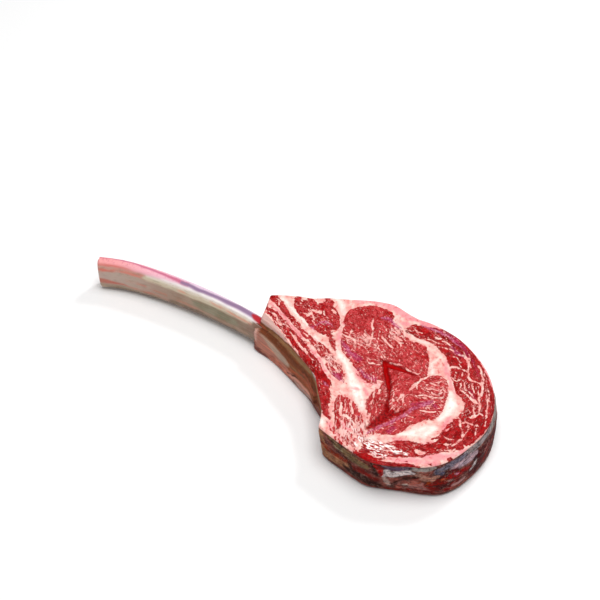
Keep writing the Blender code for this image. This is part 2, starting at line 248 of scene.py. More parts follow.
# Rows are x, y, half width on the cut face.
# Seams and flecks of fat, and some painted glints: white flecks where the wet face would catch the lamp.
FAT_VEINS_AND_GLINTS = (
    # the cap: its long seams, the net between them and the fat island at the front
    ((118, -75, 0.5), (128, -73, 1.3), (138, -69.5, 1.8), (147, -65.5, 1.6), (157, -61, 1.5),
     (168, -55, 3), (178, -47, 2.6), (186, -38, 1.2)),
    ((150, 60, 0.3), (155, 54, 0.7), (158, 50, 0.9), (160, 44, 0.8), (162.5, 39, 0.9), (166, 33.5, 1),
     (171, 33.5, 0.8), (176, 34, 0.7), (178, 31, 0.4)),
    ((157, 57, 0.3), (158.5, 51, 0.4), (162, 45, 0.3)), ((150, 55.5, 0.3), (154, 53, 0.7), (157, 54, 0.3)),
    ((166, 52, 0.3), (171, 46.5, 0.9), (174.5, 40, 0.7), (177, 35, 0.8), (179.5, 29, 0.9),
     (180.5, 23, 0.8), (181.5, 17, 0.9), (184, 11, 0.8), (186, 5, 0.5)),
    ((178, 41, 0.3), (182, 34, 0.5), (186, 27, 0.5), (188, 20, 0.5), (190.5, 12, 0.7), (192.5, 4, 0.4)),
    ((146, 38, 1), (150, 40, 0.8), (155, 41, 0.6), (161, 40, 0.7)), ((152, 36, 0.3), (154, 30, 0.5)),
    ((148, 34, 0.6), (150, 29, 0.5), (156, 27, 0.4)), ((157, 38, 0.3), (158.5, 31, 0.4), (156, 27, 0.3)),
    ((160, 26, 0.4), (163, 21, 0.6), (168, 18, 0.5), (173, 16, 0.7), (178, 14.5, 1.3), (183, 12, 1)),
    ((162, 29, 0.3), (165, 24.5, 0.7), (170, 20.5, 0.4), (176, 17.5, 0.3)),
    ((170, 30, 0.3), (173, 24, 0.5), (177, 18, 0.4)), ((177, 26, 0.4), (178.5, 22, 0.7)),
    ((175, 12, 0.3), (179, 8.5, 0.6), (182, 4, 0.6), (184.5, -0.5, 0.9), (181, -3, 0.7), (177, -5, 0.3)),
    ((184.5, -0.5, 0.6), (187, 4, 0.7), (191, 3, 0.3)), ((193, 8, 0.3), (194.5, 0, 0.4), (196, -6, 0.2)),
    ((170, -7, 0.5), (174, -9, 0.8), (176, -13, 0.8), (178.5, -17, 0.7), (181.5, -22, 0.8),
     (182, -28, 1.1), (180.5, -33, 0.9), (177, -37, 0.5)),
    ((176, -12, 0.4), (180, -9, 0.7), (184, -8.5, 0.6), (190, -8.5, 0.4)),
    ((183, -11, 0.4), (184, -17, 0.6), (182, -22, 0.5)),
    ((190, -11, 0.3), (191.5, -16, 0.5), (193, -19, 0.3)),
    ((169, -31, 0.5), (173, -32, 0.8), (176, -30.5, 0.5), (178, -35, 0.6)),
    ((172, -38, 0.5), (176, -36, 0.8)), ((186, -31, 0.4), (189, -34, 0.6), (192, -30, 0.5)),
    ((166, -45, 0.3), (172, -44.5, 0.6), (180, -39, 0.5)),
    ((151, -55.5, 1), (156, -54.5, 1.7), (160, -52.5, 0.8)), ((167, -24, 0.4), (171, -18, 0.3)),
    ((103, 61.5, 0.4), (109, 60.5, 0.5)),
    ((113, 57.5, 0.4), (119, 58.5, 0.5), (126, 57, 0.5), (131, 58.5, 0.3)),
    ((122, 62.5, 0.7), (127, 63, 1)), ((128, 61.5, 0.4), (133, 61.5, 0.6), (137, 59, 0.3)),
    ((128, 54, 0.3), (135, 54.5, 0.5), (140, 56, 0.4), (146, 53.5, 0.6), (151, 53.5, 0.7)),
    ((140, 49, 0.3), (146, 50, 0.4), (152, 47, 0.5)), ((151, 45, 0.4), (154, 42.5, 0.6)),
    # the ribeye: the vein down its middle, the seam on its right and the thready low corner
    ((63, 57, 0.5), (64.5, 52, 1), (67, 47, 0.9), (69, 42, 0.6), (70.5, 37, 0.8), (71.5, 31, 0.5)),
    ((72, 50, 0.2), (75, 43, 0.4), (77, 38, 0.3)), ((79, 52, 0.3), (80, 46, 0.3)),
    # pale flecks across its middle: partly fat, partly painted glints
    ((61, 39.5, 0.4), (64, 37, 0.9), (67.5, 36, 1.3), (70, 36.5, 0.7), (74, 37.5, 0.6)),
    ((77, 43, 0.4), (80.5, 40.5, 1.1), (83, 39, 1.3), (86, 37, 0.8), (89, 36, 0.8), (92, 34.5, 0.2)),
    ((88, 48, 0.5), (91, 46.5, 1.5), (94.5, 46.5, 1.4)), ((90, 44, 0.6), (94, 43, 0.9), (97, 44, 0.4)),
    ((94, 55, 0.6), (96, 51, 0.4)), ((84, 56, 0.4), (88, 54.5, 0.9), (91, 52, 0.5)),
    ((82, 51, 0.5), (85, 48, 0.5)),
    ((44, 30, 0.4), (50, 28.5, 0.7), (56, 29, 0.9), (59.5, 27, 1), (61.5, 24, 0.6)),
    ((50, 25.5, 0.4), (54, 27, 0.6)), ((60, 22.5, 0.6), (62.5, 20, 0.5)),
    ((49, 39, 0.3), (51.5, 36, 0.6), (52, 31, 0.4)), ((55, 42, 0.4), (58.5, 41, 0.5)),
    ((68.5, 28.5, 0.6), (71.5, 29, 0.7)), ((74, 30.5, 0.6), (78, 30, 0.5)),
    ((88, 24, 0.4), (90.5, 23, 0.7)),
    # a broken pale line along the crevice's upper lip: painted highlight
    ((95.5, 19.8, 0.5), (98, 19.8, 1), (100.5, 19.3, 0.6), (106, 20.8, 0.4)),
    ((111, 20.3, 0.5), (113.5, 19.3, 0.8), (118, 18.6, 0.6), (122.5, 18.5, 0.6), (124.5, 20, 0.5)),
    ((76, 13.5, 0.6), (79.5, 11.5, 0.8), (84, 12, 0.6), (89, 12.5, 0.4)),
    ((74, 16.5, 0.3), (79, 15, 0.4), (84, 16.5, 0.2)),
    ((131.5, 21, 0.9), (129, 16, 0.9), (127, 12, 0.9), (125.2, 8, 1), (124, 4, 1.2), (122.7, 0, 0.8)),
    ((126, 8, 0.4), (128, 5, 0.4), (129, 3, 0.2)),
    ((127, -4, 0.3), (131, -2.5, 0.5), (135, 0.3, 0.6), (139, 1.2, 0.7), (143, 1.8, 0.9), (147, 3.2, 0.5),
     (152, 5.5, 0.3)),
    ((131, -3.5, 0.4), (135, -3, 0.9), (139, -1.5, 0.5)),
    ((136, 14, 0.3), (140, 14.5, 0.5), (145, 16, 0.3)),
    ((141, 7.5, 0.3), (143.5, 5.5, 0.5), (148, 6, 0.4)),
    ((140, -16, 0.3), (144, -14.5, 0.9), (149, -12.5, 0.8), (152, -11, 0.3)),
    ((130, -25, 0.4), (134, -24.5, 0.6), (136.5, -24.5, 0.4)),
    ((131, -26, 0.3), (131.5, -31, 0.5), (134, -33.5, 0.5)), ((117.5, -14, 0.7), (120.5, -16.5, 0.8)),
    ((122, -20, 0.4), (122.5, -24, 0.8), (121, -27.5, 0.7)), ((112, -24, 0.4), (113.5, -27, 0.6)),
    ((100, -11, 1), (101, -14.5, 1)), ((95.5, -4, 1.6), (98.5, -2.5, 0.6)),
    ((106.5, -8, 0.6), (107.5, -12, 0.5)), ((118, -33, 0.3), (119.5, -34.5, 0.7)),
    ((96, -14, 0.5), (98, -22, 0.4), (100, -31, 0.5)),
    # the tail muscle
    ((-4.6, 53, 1.2), (-4.6, 48, 1), (-3.2, 43.5, 0.4)), ((10.2, 55, 1), (10.6, 50, 0.5)),
    # the second row here: painted glints, white specks where the wet face would catch the lamp
    ((12, 53, 0.3), (14.5, 47, 0.3)), ((4, 41, 0.6), (8, 40.5, 0.8), (10.5, 42, 1.1), (18, 41.7, 1.4)),
    ((4.5, 35, 0.5), (9, 36.3, 1), (7.5, 33.5, 0.5)),
    ((10, 38.5, 0.7), (13, 36, 0.5), (15.3, 32, 0.7), (17, 29, 0.6), (19, 26, 0.4)),
    ((20, 45, 0.4), (22, 42, 0.5)), ((25, 49.5, 0.7), (28, 48.5, 1.3), (31, 46.5, 0.7)),
    ((23.5, 41, 0.5), (25.5, 39.5, 0.6)), ((34.5, 28, 0.7), (37, 29.5, 1)),
    # the strips between the ribs
    ((-26, 39, 0.3), (-22, 37.5, 0.8), (-20, 34, 0.5)), ((-8, 24.5, 0.3), (-3, 21.5, 0.3)),
    ((-15, 19, 0.5), (-12, 15.5, 0.8), (-8, 14.5, 0.6)),
    ((2, 10.8, 0.6), (7, 8, 0.9), (10, 5.5, 0.8), (17, 1.5, 0.9), (22, -1, 1.3), (27, -4.5, 0.8),
     (31, -7, 0.6), (34, -8.5, 0.3)),
    ((14, 16.2, 0.5), (17, 14.5, 0.5)), ((38, 2.5, 0.6), (43, 3.5, 0.9), (48, 5.5, 0.9)),
    ((41, -3, 0.7), (45, -4, 0.9), (48, -2.5, 0.6)), ((50, -7.5, 0.4), (55, -7, 0.5), (60, -9, 0.4)),
    ((30, 10.5, 0.4), (32, 6, 0.4)), ((50, -13, 0.6), (54, -12, 0.5)), ((-24, 24, 0.5), (-12, 18, 0.5)),
    # the chine end, fat feathered through it
    ((66, -30, 1.6), (67.5, -38, 1.6), (70.5, -47, 1.5), (73.5, -54, 1.2)),
    ((75.5, -38, 0.6), (77.5, -45, 1.2), (80.5, -50, 0.9)),
    ((82, -31, 0.7), (84.5, -38, 0.8), (88, -43, 1.4)), ((79, -49.5, 0.8), (86, -49, 1.3), (90, -50, 1)),
    ((91, -51, 0.9), (95, -53.5, 1.4), (98, -55, 0.8)), ((84, -55, 1.6), (88, -58, 1.6), (95, -60, 1.2)),
    ((96, -61, 0.9), (99, -63, 1.3), (99.5, -67, 0.9)),
    ((102, -38, 0.9), (103.5, -46, 0.9), (106, -54, 1.2), (107, -59, 0.6)),
    ((104, -66, 0.6), (108, -67.5, 1.4), (106, -71, 1)), ((82, -66, 0.5), (85, -68, 0.9)),
    ((90, -70, 0.4), (96, -73, 0.5), (103, -75, 0.6)),
)
RED_STREAKS = (
    ((146, -67.5, 0.1), (150, -67, 0.7), (153, -65.5, 0.1)),
    ((152, -63.5, 0.1), (156, -62, 0.5), (159, -60, 0.1)),
    ((-30.5, 40.5, 3.4), (-25, 37.5, 3.2), (-19, 33, 2.4)),
    ((-25.5, 28, 0.8), (-22, 24, 1.8), (-16, 21.5, 1.8), (-9, 17.5, 1.4)),
    ((-31, 26, 0.8), (-29, 24, 0.5)),
    ((-20, 19.5, 1.2), (-16, 17, 1.8), (-11, 13, 1.2), (-4, 10.5, 2), (3, 7, 2.6), (9, 2.3, 2.2),
     (15, -1.8, 2.4), (21, -6.8, 1.8), (28, -10.3, 2.8), (35, -14.5, 2.8), (42, -19, 3.2), (50, -21, 3.4),
     (55, -23, 2.4)),
    ((46, -24, 2.4), (52, -33, 2.8), (57, -42, 3.2), (62, -49, 3), (68, -54, 2.4), (73, -57, 1)),
    ((12, 8.5, 1.3), (18, 5, 1.7), (24, 1, 1.4), (31, -4, 1.9), (38, -9, 2), (45, -14.5, 1.4)),
    ((23, 11.5, 1.2), (29, 11, 2), (35, 8.5, 2.2), (42, 6, 2), (47, 2.8, 1.4), (51, 1.5, 0.8)),
    ((51, -3, 1.8), (57, -4, 2), (60, -8, 2.2), (64, -13, 2.2), (67.5, -16.8, 0.8)),
    ((37, 21, 1), (41, 17, 2.6), (45, 12, 1.6), (46.5, 10, 0.4)),
    ((30, 24, 1.6), (34, 22, 1.8), (37.5, 23.5, 1.4)), ((-10.5, 50.5, 1.6), (-7.5, 49, 1.8), (-7, 44, 2)),
    ((0, 50.5, 1.6), (6, 52.5, 1.6)), ((17, 59.5, 2.4), (22, 57, 2)),
    ((104, 67, 1.2), (112, 69, 1.6), (122, 70.8, 2), (130, 70.8, 2.4), (138, 69, 2.6), (148, 65, 2.6),
     (156, 60, 2.4), (163, 55, 2.4), (169, 50, 2), (176, 44, 1.8), (182, 37, 2), (188, 28.5, 2.2),
     (193, 19, 2.2), (196, 9, 2.2), (197, -2, 2.2), (195.5, -13, 2.4), (192.5, -22, 2), (189, -30, 2.2),
     (185, -36, 1.2)),
    ((96, 58, 2), (100, 60, 4), (105, 61, 5)), ((92, 34, 1), (125, 39, 1.4)),
    ((106, -80, 3), (113, -80.5, 4.5), (119, -79, 5), (125, -80, 3.6), (133, -79.5, 3), (138, -77.5, 2.6)),
    ((137, -77, 2.4), (142, -75, 2.6), (149, -72, 2.6), (155, -69.6, 2), (162, -67.5, 0.8)),
    ((138, -64, 1.6), (142, -63, 3.2), (147, -62, 1.6)),
    ((149, -57.5, 1.6), (155, -59, 1.7), (160.5, -55.5, 1.4), (163, -50, 1.6)),
    ((162, -46, 1.8), (169, -43, 1.8), (176, -41, 1.6)),
    ((179.5, -45.5, 1), (181.5, -48.5, 2.2), (182.5, -52, 1.2)), ((173, -58, 0.3), (175, -55, 0.8)),
    ((164, -62.5, 0.3), (169, -61.5, 0.8)), ((157, -42, 0.8), (159, -41.5, 0.6)),
    ((160, -37.5, 0.5), (164, -33, 1), (166, -27, 1.6)),
    ((97, -12, 0.8), (99.5, -18, 2.4), (97.5, -26, 2), (98, -33, 1.6)),
    ((74, -4, 0.6), (80, -5.8, 1.6), (87, -7.5, 1.3), (92, -8, 0.7)), ((64, 5.5, 1.5), (67.5, 5, 1)),
    ((71.5, -33, 2.2), (73, -41, 2.6), (74.5, -48, 2.8), (78, -54, 2.2), (79.5, -59, 1)),
    ((77, -32, 2), (79.5, -37, 3.2), (82.5, -43, 2)), ((84.5, -33, 1), (87, -36.5, 1.5)),
    ((80, -53, 1.6), (82.5, -59, 1.4)),
    ((92, -42, 1), (97, -46, 2.6), (101.5, -51, 2.2), (103.5, -58, 2), (104.5, -62, 1)),
    ((89, -47, 1.4), (92, -48, 0.8)), ((101, -59, 0.8), (101.5, -66, 1.2)),
    ((107, -61.5, 1), (107.5, -65, 0.8)), ((91, -65, 1.2), (93.5, -68, 1.8)),
    ((85, -63, 1.3), (87.5, -66.5, 1.6)), ((85.5, -71, 1.2), (89, -74, 2), (94, -75.5, 1)),
    ((97, -68.5, 0.6), (101.5, -70.5, 1.2)), ((80, -63, 0.8), (82.5, -68.5, 0.8)),
    ((105, -73, 0.6), (108, -77, 0.7), (109, -81, 0.8)), ((70, -60, 0.4), (76, -64, 1), (82, -68, 0.5)),
    ((84, -73.5, 0.6), (92, -76, 1.1), (100, -78.5, 1.2)), ((-33, 33, 1), (-30, 27, 0.8), (-27, 24, 1.4)),
    ((-32, 44, 2.6), (-28, 41, 3)), ((133, -53, 1), (140, -51, 1.8), (146, -51, 2.2)),
    ((127, -56, 0.5), (133, -57, 1.2)),
)
SILVERSKIN = (
    ((107.5, -56, 0.8), (113, -49, 1.8), (119, -42, 1.9), (124, -34.5, 1.9), (128.5, -27, 2),
     (133, -19, 1.8), (139, -11, 1.8), (144, -4.5, 1.4), (147, -2, 0.4)),
    ((16, 24.5, 0.3), (20, 27, 0.9), (22.5, 31.5, 1.1), (26.5, 35, 1.1), (31, 34, 0.7), (34, 32, 0.2)),
    ((68, 61, 0.5), (73, 61.5, 1.3), (78, 62, 1.4), (84, 59, 1.6), (91, 57, 0.6)),
    ((46, 22, 0.2), (49.5, 20, 0.9), (54.5, 17.4, 1.4), (59, 14.2, 1.3), (64, 11.2, 1.1), (69, 9.6, 0.3)),
    ((70, 3, 0.2), (74, 1, 0.5), (77.5, -1.4, 0.9), (82, -4.2, 1.2), (88, -5, 0.9), (93, -4.4, 0.3)),
    ((106, 69.5, 0.8), (112, 69.3, 1.2), (118, 68.5, 1.4), (125, 68.5, 1.5), (132, 67, 1.2),
     (139, 64.5, 1.3), (146, 62, 0.5)),
    ((137, 58.5, 0.5), (142, 56.5, 1), (150, 53.5, 1)), ((14, 24.5, 0.4), (18, 23.5, 0.9), (23, 21, 0.5)),
    ((54, -13, 0.5), (60, -14.5, 1.4), (66, -16.5, 1)), ((51, -24, 0.5), (54, -26.5, 1.2), (58, -28, 0.5)),
    ((92, -43.5, 0.4), (95, -45, 0.8)), ((112, -73, 0.2), (122, -72, 0.2)),
)
VIOLET = (      # lean that looks magenta under its silverskin
    ((108, 69, 0.3), (120, 69.5, 1), (132, 69, 1.8), (144, 65, 2), (155, 58, 1.2), (164, 49, 0.6),
     (171, 40, 0.2)),
    ((137, 58, 1), (145, 55, 2), (152, 53, 1.5)), ((121, -40, 0.5), (127, -42, 1.5), (124, -47, 2)),
    ((130, -14, 1), (145, -4, 2), (152, -8, 1)), ((47, 22, 1), (58, 13, 3), (70, 10, 3)),
    ((74, 0, 1), (82, -3, 2.5), (92, -3, 2)), ((18, 25, 0.6), (23, 31, 1), (31, 34, 0.8)),
    ((56, -11, 1), (62, -13, 2.5), (67, -16, 1)), ((170, 22, 1), (177, 16, 1.6)),
    ((70, 61, 1), (80, 61, 2.5), (90, 57, 1.5)),
)
BLOODY = (      # where the lean is wettest and reddest
    ((-32, 42, 2), (-27, 39, 3.5)), ((0, 8, 1), (5, 5, 2.5), (16, -2, 2.2)),
    ((28, -9.5, 2), (36, -14, 2.5), (42, -18, 3)),
    ((41, -19, 2.4), (47, -19.5, 4), (53, -20.5, 4), (58, -27, 2)), ((26, 30, 2), (29, 28, 3)),
    ((16, 50, 2), (20, 37, 2)), ((135, 52, 2), (143, 47, 3), (150, 45, 3.5), (158, 43, 2)),
    ((178, 0, 2.5), (179, -6, 3)), ((188, -1, 3), (189, -5, 3)), ((194, -3, 2), (196, -12, 3)),
    ((186, -14, 3), (188, -22, 4)), ((176, -20, 2), (178, -27, 3)), ((169, -22, 2), (170, -38, 3)),
    ((148, -56, 2), (153, -52, 2.5), (162, -46, 2.5), (170, -42, 1.6)), ((155, -59, 1.6), (161, -54, 1.5)),
    ((140, -62, 2.5), (144, -64, 2.5)), ((113, -79, 3), (119, -76, 4.5), (126, -78, 2.5)),
    ((72, -46, 1), (75, -50, 2.5), (78, -56, 1.5)), ((96, -45, 1.6), (99, -49, 1.8)),
    ((99, -18, 1.5), (97.5, -25, 1.8)), ((104, 62, 3), (117, 63, 2.5), (128, 60, 2.5)),
    ((110, 36, 1.5), (122, 38, 2), (126, 36, 1)), ((152, 20, 1), (154, 14, 1)),
    ((70, 66, 2), (76, 68, 2.5)), ((50, 60, 2), (56, 65, 2)), ((142, -72, 1.6), (152, -68.5, 1.8)),
    ((145, -21, 1.5), (153, -19, 1.5)), ((60, -32, 2), (64, -44, 2)),
)
CREVICES = (
    ((88, 17, 0.5), (92, 16.6, 2), (97, 16.6, 2.8), (101, 16.4, 2.7), (106, 16.6, 2.3), (112, 16.6, 1.8),
     (118, 16, 1.1), (123, 16.4, 0.2)),
    ((92, 15, 2), (95, 12, 2.8), (98.5, 6.5, 2.2), (102, 1, 2.2), (105.5, -4.5, 1.7), (108.5, -11, 1.2),
     (111, -18, 0.9), (113.5, -26, 1), (115, -30, 0.4)),
)
STAIN = (       # juice soaked into the lean below them
    ((111, -22, 0.6), (113, -28, 2), (113.5, -35, 3.6), (111, -43, 3.4), (106, -51, 1.6)),
    ((114, -42, 1.4), (117, -35, 2.6), (120, -30, 2.4), (125, -24.5, 1.6), (129, -19, 0.6)),
)
MOSAIC = (      # where the muscle is shot through with white, like a pavement
    ((104, -64, 2), (112, -65, 4.5), (121, -68, 5), (130, -71, 2.5)),
    ((118, -60, 1), (128, -62, 2.6), (138, -62, 2.2), (147, -61, 1)),
    ((90, -69, 0.8), (98, -70, 1.6), (105, -71, 1.2)),
)
DEEP = (1.6, 2.0)       # mm, how deep each branch of the crevice is


def upright(points):
    """Points carried up along the meat's lean to where they would be on the cut face."""
    raised = points.copy()
    depth = 1 - points[:, 2] / THICK
    for _ in range(4):
        raised[:, 1] = points[:, 1] - LEAN_BACK * eased(LEAN_FROM - raised[:, 1], 0, LEAN_DEPTH) * depth
    return raised


def outline_of(name):
    """The pieces of a CAD muscle's outline, as pairs of places on the cut face."""
    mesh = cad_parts[name].data
    floor = min(v.co.z for v in mesh.vertices)
    ends = [[list(mesh.vertices[i].co / MM) for i in edge] for p in mesh.polygons
            if abs(p.normal.z) < 0.7 for edge in p.edge_keys
            if all(mesh.vertices[i].co.z < floor + 1e-5 for i in edge)]
    ends = np.array(ends)
    return upright(ends[:, 0])[:, :2], upright(ends[:, 1])[:, :2]


def depth_in(points, outline):
    """How deep points lie inside a closed outline, in mm; less than nothing outside."""
    gap, crossings = np.full(len(points), 1e9), np.zeros(len(points), int)
    for a, b in zip(*outline):
        gap = np.minimum(gap, nearest_on(a, b, points)[1])
        straddles = (a[1] > points[:, 1]) != (b[1] > points[:, 1])
        run, rise = b - a
        crossings += straddles & (points[:, 0] < a[0] + (points[:, 1] - a[1]) / (rise or 1e-9) * run)
    return np.where(crossings % 2 == 1, gap, -gap)


def shoved(grain, seed_x, seed_y):
    """How far noise shoves every point of the flesh along and across the face."""
    return np.stack([cloud(through, grain, seed_x), cloud(through, grain, seed_y), np.zeros(count)], axis=1)


through = upright(place)
wobble = shoved(7.0, 3.1, 9.7) + 0.4 * shoved(2.5, 5.3, 1.9)
wavy = through + 1.3 * wobble

inside = {name: depth_in((through + 1.1 * wobble)[:, :2], outline_of(name)) for name in MUSCLES}
inside["intercostal_outer"] = np.minimum(inside["intercostal_outer"], place[:, 2] - 40)
lean = np.max(list(inside.values()), axis=0)
lean = np.maximum(lean, strokes(wavy, RED_STREAKS))
# Fat veins, and the painted glints among them, are drawn as fat.
lean = np.minimum(lean, -strokes(wavy, FAT_VEINS_AND_GLINTS))
silver = strokes(wavy, SILVERSKIN)
violet = strokes(wavy, VIOLET)
bloody = strokes(wavy, BLOODY)
crevice = strokes(through + 0.9 * wobble, CREVICES)
stain = strokes(through + 1.2 * wobble, STAIN)
mosaic = strokes(wavy, MOSAIC)


def swells(rows):
    """Round swells on the cut face, added up: each row is x, y, radius and height."""
    total = np.zeros(count)
    for x, y, spread, more in rows:
        total += more * np.exp(-((wavy[:, 0] - x) ** 2 + (wavy[:, 1] - y) ** 2) / spread ** 2)
    return total


# How much marbling each muscle has, and which way its coarse grain runs: u along it, v across.
GRAIN = {   # direction in degrees, stretch, marbling, darkness
    "ribeye": (120, 2.0, 0.42, 0.25), "tail_muscle": (-30, 1.5, 0.35, 0.5),
    "intercostal_inner": (-33, 2.6, 0.35, 0.55), "intercostal_outer": (-38, 2.2, 0.3, 0.7),
    "chine_muscle": (-64, 3.0, 0.62, 0.25), "rib_cap": (None, 2.6, 0.3, 0.95),
}
BUNDLES = (     # of the ribeye: a place in each, and which way its grain runs
    (70, 45, -26), (105, 34, -40), (60, 18, -20), (113, -4, 71), (141, 4, 12), (129, -38, 58),
    (92, -12, -64), (100, -40, -75),
)
CAP_MIDDLE, CAP_RADIUS = (110.0, 0.0), 75    # the cap's grain runs in circles round this place
from_middle = through[:, :2] - CAP_MIDDLE
radius = np.linalg.norm(from_middle, axis=1)
bearing = np.arctan2(from_middle[:, 1], from_middle[:, 0])
grain = np.zeros((count, 3))
grain[:, 2] = through[:, 2] * 0.2
marbling, darkness = np.zeros(count), np.zeros(count)
nearest = np.array(MUSCLES)[np.argmax([inside[name] for name in MUSCLES], axis=0)]
bundles = np.array(BUNDLES, float)
bundle_of = np.argmin([np.linalg.norm(through[:, :2] - row[:2], axis=1) for row in bundles], axis=0)
for name, (direction, stretch, amount, dark) in GRAIN.items():
    here = nearest == name
    if direction is None:
        grain[here, 0] = bearing[here] * CAP_RADIUS / stretch
        grain[here, 1] = radius[here]
    else:
        turn = np.radians(bundles[bundle_of[here], 2] if name == "ribeye" else direction)
        grain[here, 0] = (through[here, 0] * np.cos(turn) + through[here, 1] * np.sin(turn)) / stretch
        grain[here, 1] = through[here, 1] * np.cos(turn) - through[here, 0] * np.sin(turn)
    grain[here, 2] += 40 * MUSCLES.index(name)
    marbling[here], darkness[here] = amount, dark
RICH = (    # where the marbling is denser: x, y, radius, how much more
    (122, -65, 10, 0.6), (130, -61, 7, 0.8), (84, 23, 9, 0.5), (58, 26, 8, 0.6), (64, 34, 8, 0.4),
    (88, 50, 9, 0.7), (144, 8, 11, 0.6), (118, -14, 9, 0.5), (47, 0, 8, 0.9), (95, -58, 13, 0.7),
    (30, 10, 6, 0.5), (56, -9, 6, 0.5), (150, -52, 6, 0.5), (168, 20, 10, 0.3), (175, 0, 6, 0.5),
    (100, 58, 7, 0.7), (60, 55, 14, -0.3), (112, -33, 7, 0.3), (110, 34, 11, -0.3), (104, 6, 7, -0.35),
    (94, 21, 5, -0.3), (178, -24, 8, -0.4), (188, -3, 7, -0.4), (186, 20, 6, 0.4), (8, 42, 7, 0.2),
    (-12, 14, 8, 0.5), (148, 46, 8, -0.3), (118, -78, 7, -1.4), (128, -79, 6, -1.2), (146, -70, 7, -1.2),
    (143, -64, 4, -1), (186, 20, 8, -0.3), (165, 50, 10, -0.2), (48, -20, 6, -0.6),
)
marbling += swells(RICH)
darkness += 0.35 * cloud(through, (11, 11, 40), 4.4)
TORN = (    # where lean and fat run into each other in fingers: x, y, radius, how far in mm
    (92, -60, 24, 3.2), (112, -66, 10, 2), (55, -8, 16, 2.4), (20, 5, 22, 1.6), (-12, 25, 20, 1.4),
    (60, -40, 16, 3), (170, -48, 18, 2.6), (100, 62, 10, 2.2), (172, 5, 16, 2), (10, 48, 12, 2),
)
fringe = 1 + swells(TORN)

# Thick pools of cream-white fat, and the blush where the fat was next to the outer skin.
CREAM = (
    ((156, 13, 1), (162, 3, 4.5), (162, -6, 4), (158, -17, 1.5)),
    ((133, -45, 1), (142, -40, 3.5), (151, -34, 5.5), (157, -27, 3)),
    ((112, -62, 1.5), (115, -58, 2), (110, -66, 1)),
    ((-22, 41, 1.5), (-8, 35, 2), (4, 28, 1.6), (12, 24, 1)), ((24, 16, 1.5), (33, 11, 0.5)),
    ((46, 13, 0.6), (53, 7, 2.4), (61, 2, 2.2), (72, -10, 3), (80, -18, 4.5), (88, -28, 4), (93, -34, 2.5)),
    ((134, 44, 0.6), (130, 34, 0.6), (134, 25, 1.6)), ((68, -62, 2.5), (70, -65, 2)),
    ((84, -49, 0.8), (92, -52, 1)), ((24, 63, 1.5), (32, 58, 2), (36, 50, 0.8)),
    ((106, 52, 0.4), (112, 52.5, 0.8), (118, 53, 0.4)), ((147, -65.8, 0.4), (158, -60.5, 0.5)),
    ((172, -49, 0.6), (177, -47.5, 0.8)),
)
BLUSH = (
    ((40, 71, 1), (60, 76, 2.5), (74, 77, 4), (86, 74, 4.5), (98, 73, 3.5), (113, 73, 2.5), (130, 72, 2),
     (150, 67, 2), (167, 57, 2), (182, 42, 2), (194, 20, 2)),
    ((140, 44, 1), (144, 34, 2), (150, 27, 1.5), (155, 20, 1.5), (160, 14, 1)),
    ((160, -57, 2), (168, -54, 4), (176, -50, 3), (184, -42, 2), (190, -34, 1.5)),
    ((148, -60, 1), (158, -63.5, 1.6), (172, -59, 3)), ((88, 62, 1), (95, 66, 1.2)),
    ((-28, 32, 1), (-20, 28, 2), (-8, 22, 2), (6, 14, 1.6), (14, 10, 1.4)),
    ((24, 2, 1), (32, -1, 1.6), (42, -8, 1.6), (50, -14, 1.4)),
    ((70, 0, 1), (76, -6, 1), (88, -10, 1), (96, -6, 1)), ((165, -12, 1.5), (166, -24, 2), (168, -12, 1)),
    ((162, -40, 1), (155, -46, 1)), ((26, 14, 0.6), (29, 11, 0.8)), ((88, -16, 1), (92, -20, 1)),
    ((78, -20, 0.5), (82, -20, 0.8)), ((72, -60, 1), (80, -66, 1.5), (92, -72, 1)),
    ((85, -56, 2.5), (92, -60, 2)), ((40, 36, 0.5), (43, 28, 1), (46, 18, 1.2)),
    ((32, 68, 1), (48, 70, 1.6)), ((44, 47, 0.6), (42, 40, 1)), ((128, -53, 1), (140, -48, 0.8)),
    ((134, -71, 0.6), (142, -69, 2), (150, -66.5, 3), (160, -62, 2.4)),
)
cream, blush = strokes(wavy, CREAM), strokes(wavy, BLUSH)

# The relief of the cut: lean springs up a little where the knife has freed it, fat lies in
# lumps, seams sink, and the crevice gapes. The sides are uneven, with creases and a torn membrane.
lumps = cloud(through, (16, 16, 60), 2.2)
spring = 1 - np.exp(-np.clip(lean, 0, None) / 4)
relief = 0.75 * spring + 0.22 * lumps
relief += (1 - spring) * (0.30 * cloud(through, (6, 6, 60), 6.1) - 0.15)
relief -= 0.45 * np.exp(-(lean / 0.7) ** 2)
relief += 0.14 * cloud(grain, 2.2, 7.7) * spring
for branch, deep in zip(CREVICES, DEEP):
    gape = stroke(through + 0.9 * wobble, branch)
    relief -= deep * eased(gape, -1.2, 2.6)
relief -= 0.5 * eased(stain, -2, 3)
relief += 0.5 * np.exp(-((crevice + 2.0) / 1.2) ** 2)
place[on_face, 2] += relief[on_face] * eased(1 - size[on_face], 0, 0.03)
place[on_base, 2] += 0.25 * (1 + cloud(through, 9.0, 8.8))[on_base] * eased(1 - size[on_base], 0, 0.05)

along_rim = share * steps.sum()
wall_place = np.stack([along_rim, height, np.zeros(count)], axis=1)
dents = 0.55 * cloud(place, 13.0, 1.1) + 0.35 * cloud(place, 5.0, 2.9) + 0.2 * cloud(place, 2.2, 4.0)
creases = np.abs(cloud(wall_place, (4.5, 17, 1), 6.6)) - 0.3
mid_wall = eased(height, 0.5, 5) * eased(THICK - height, 0.8, 5)
sink = mid_wall * (0.35 - dents - 0.8 * np.clip(-creases, 0, 1))
place[:, :2] -= way * (np.where(on_wall, sink, 0) * 0.8)[:, None]
place = np.clip(place, np.array(cad_box[0]) / MM + 0.02, np.array(cad_box[1]) / MM - 0.02)
flesh_mesh.vertices.foreach_set("co", (place * MM).ravel())

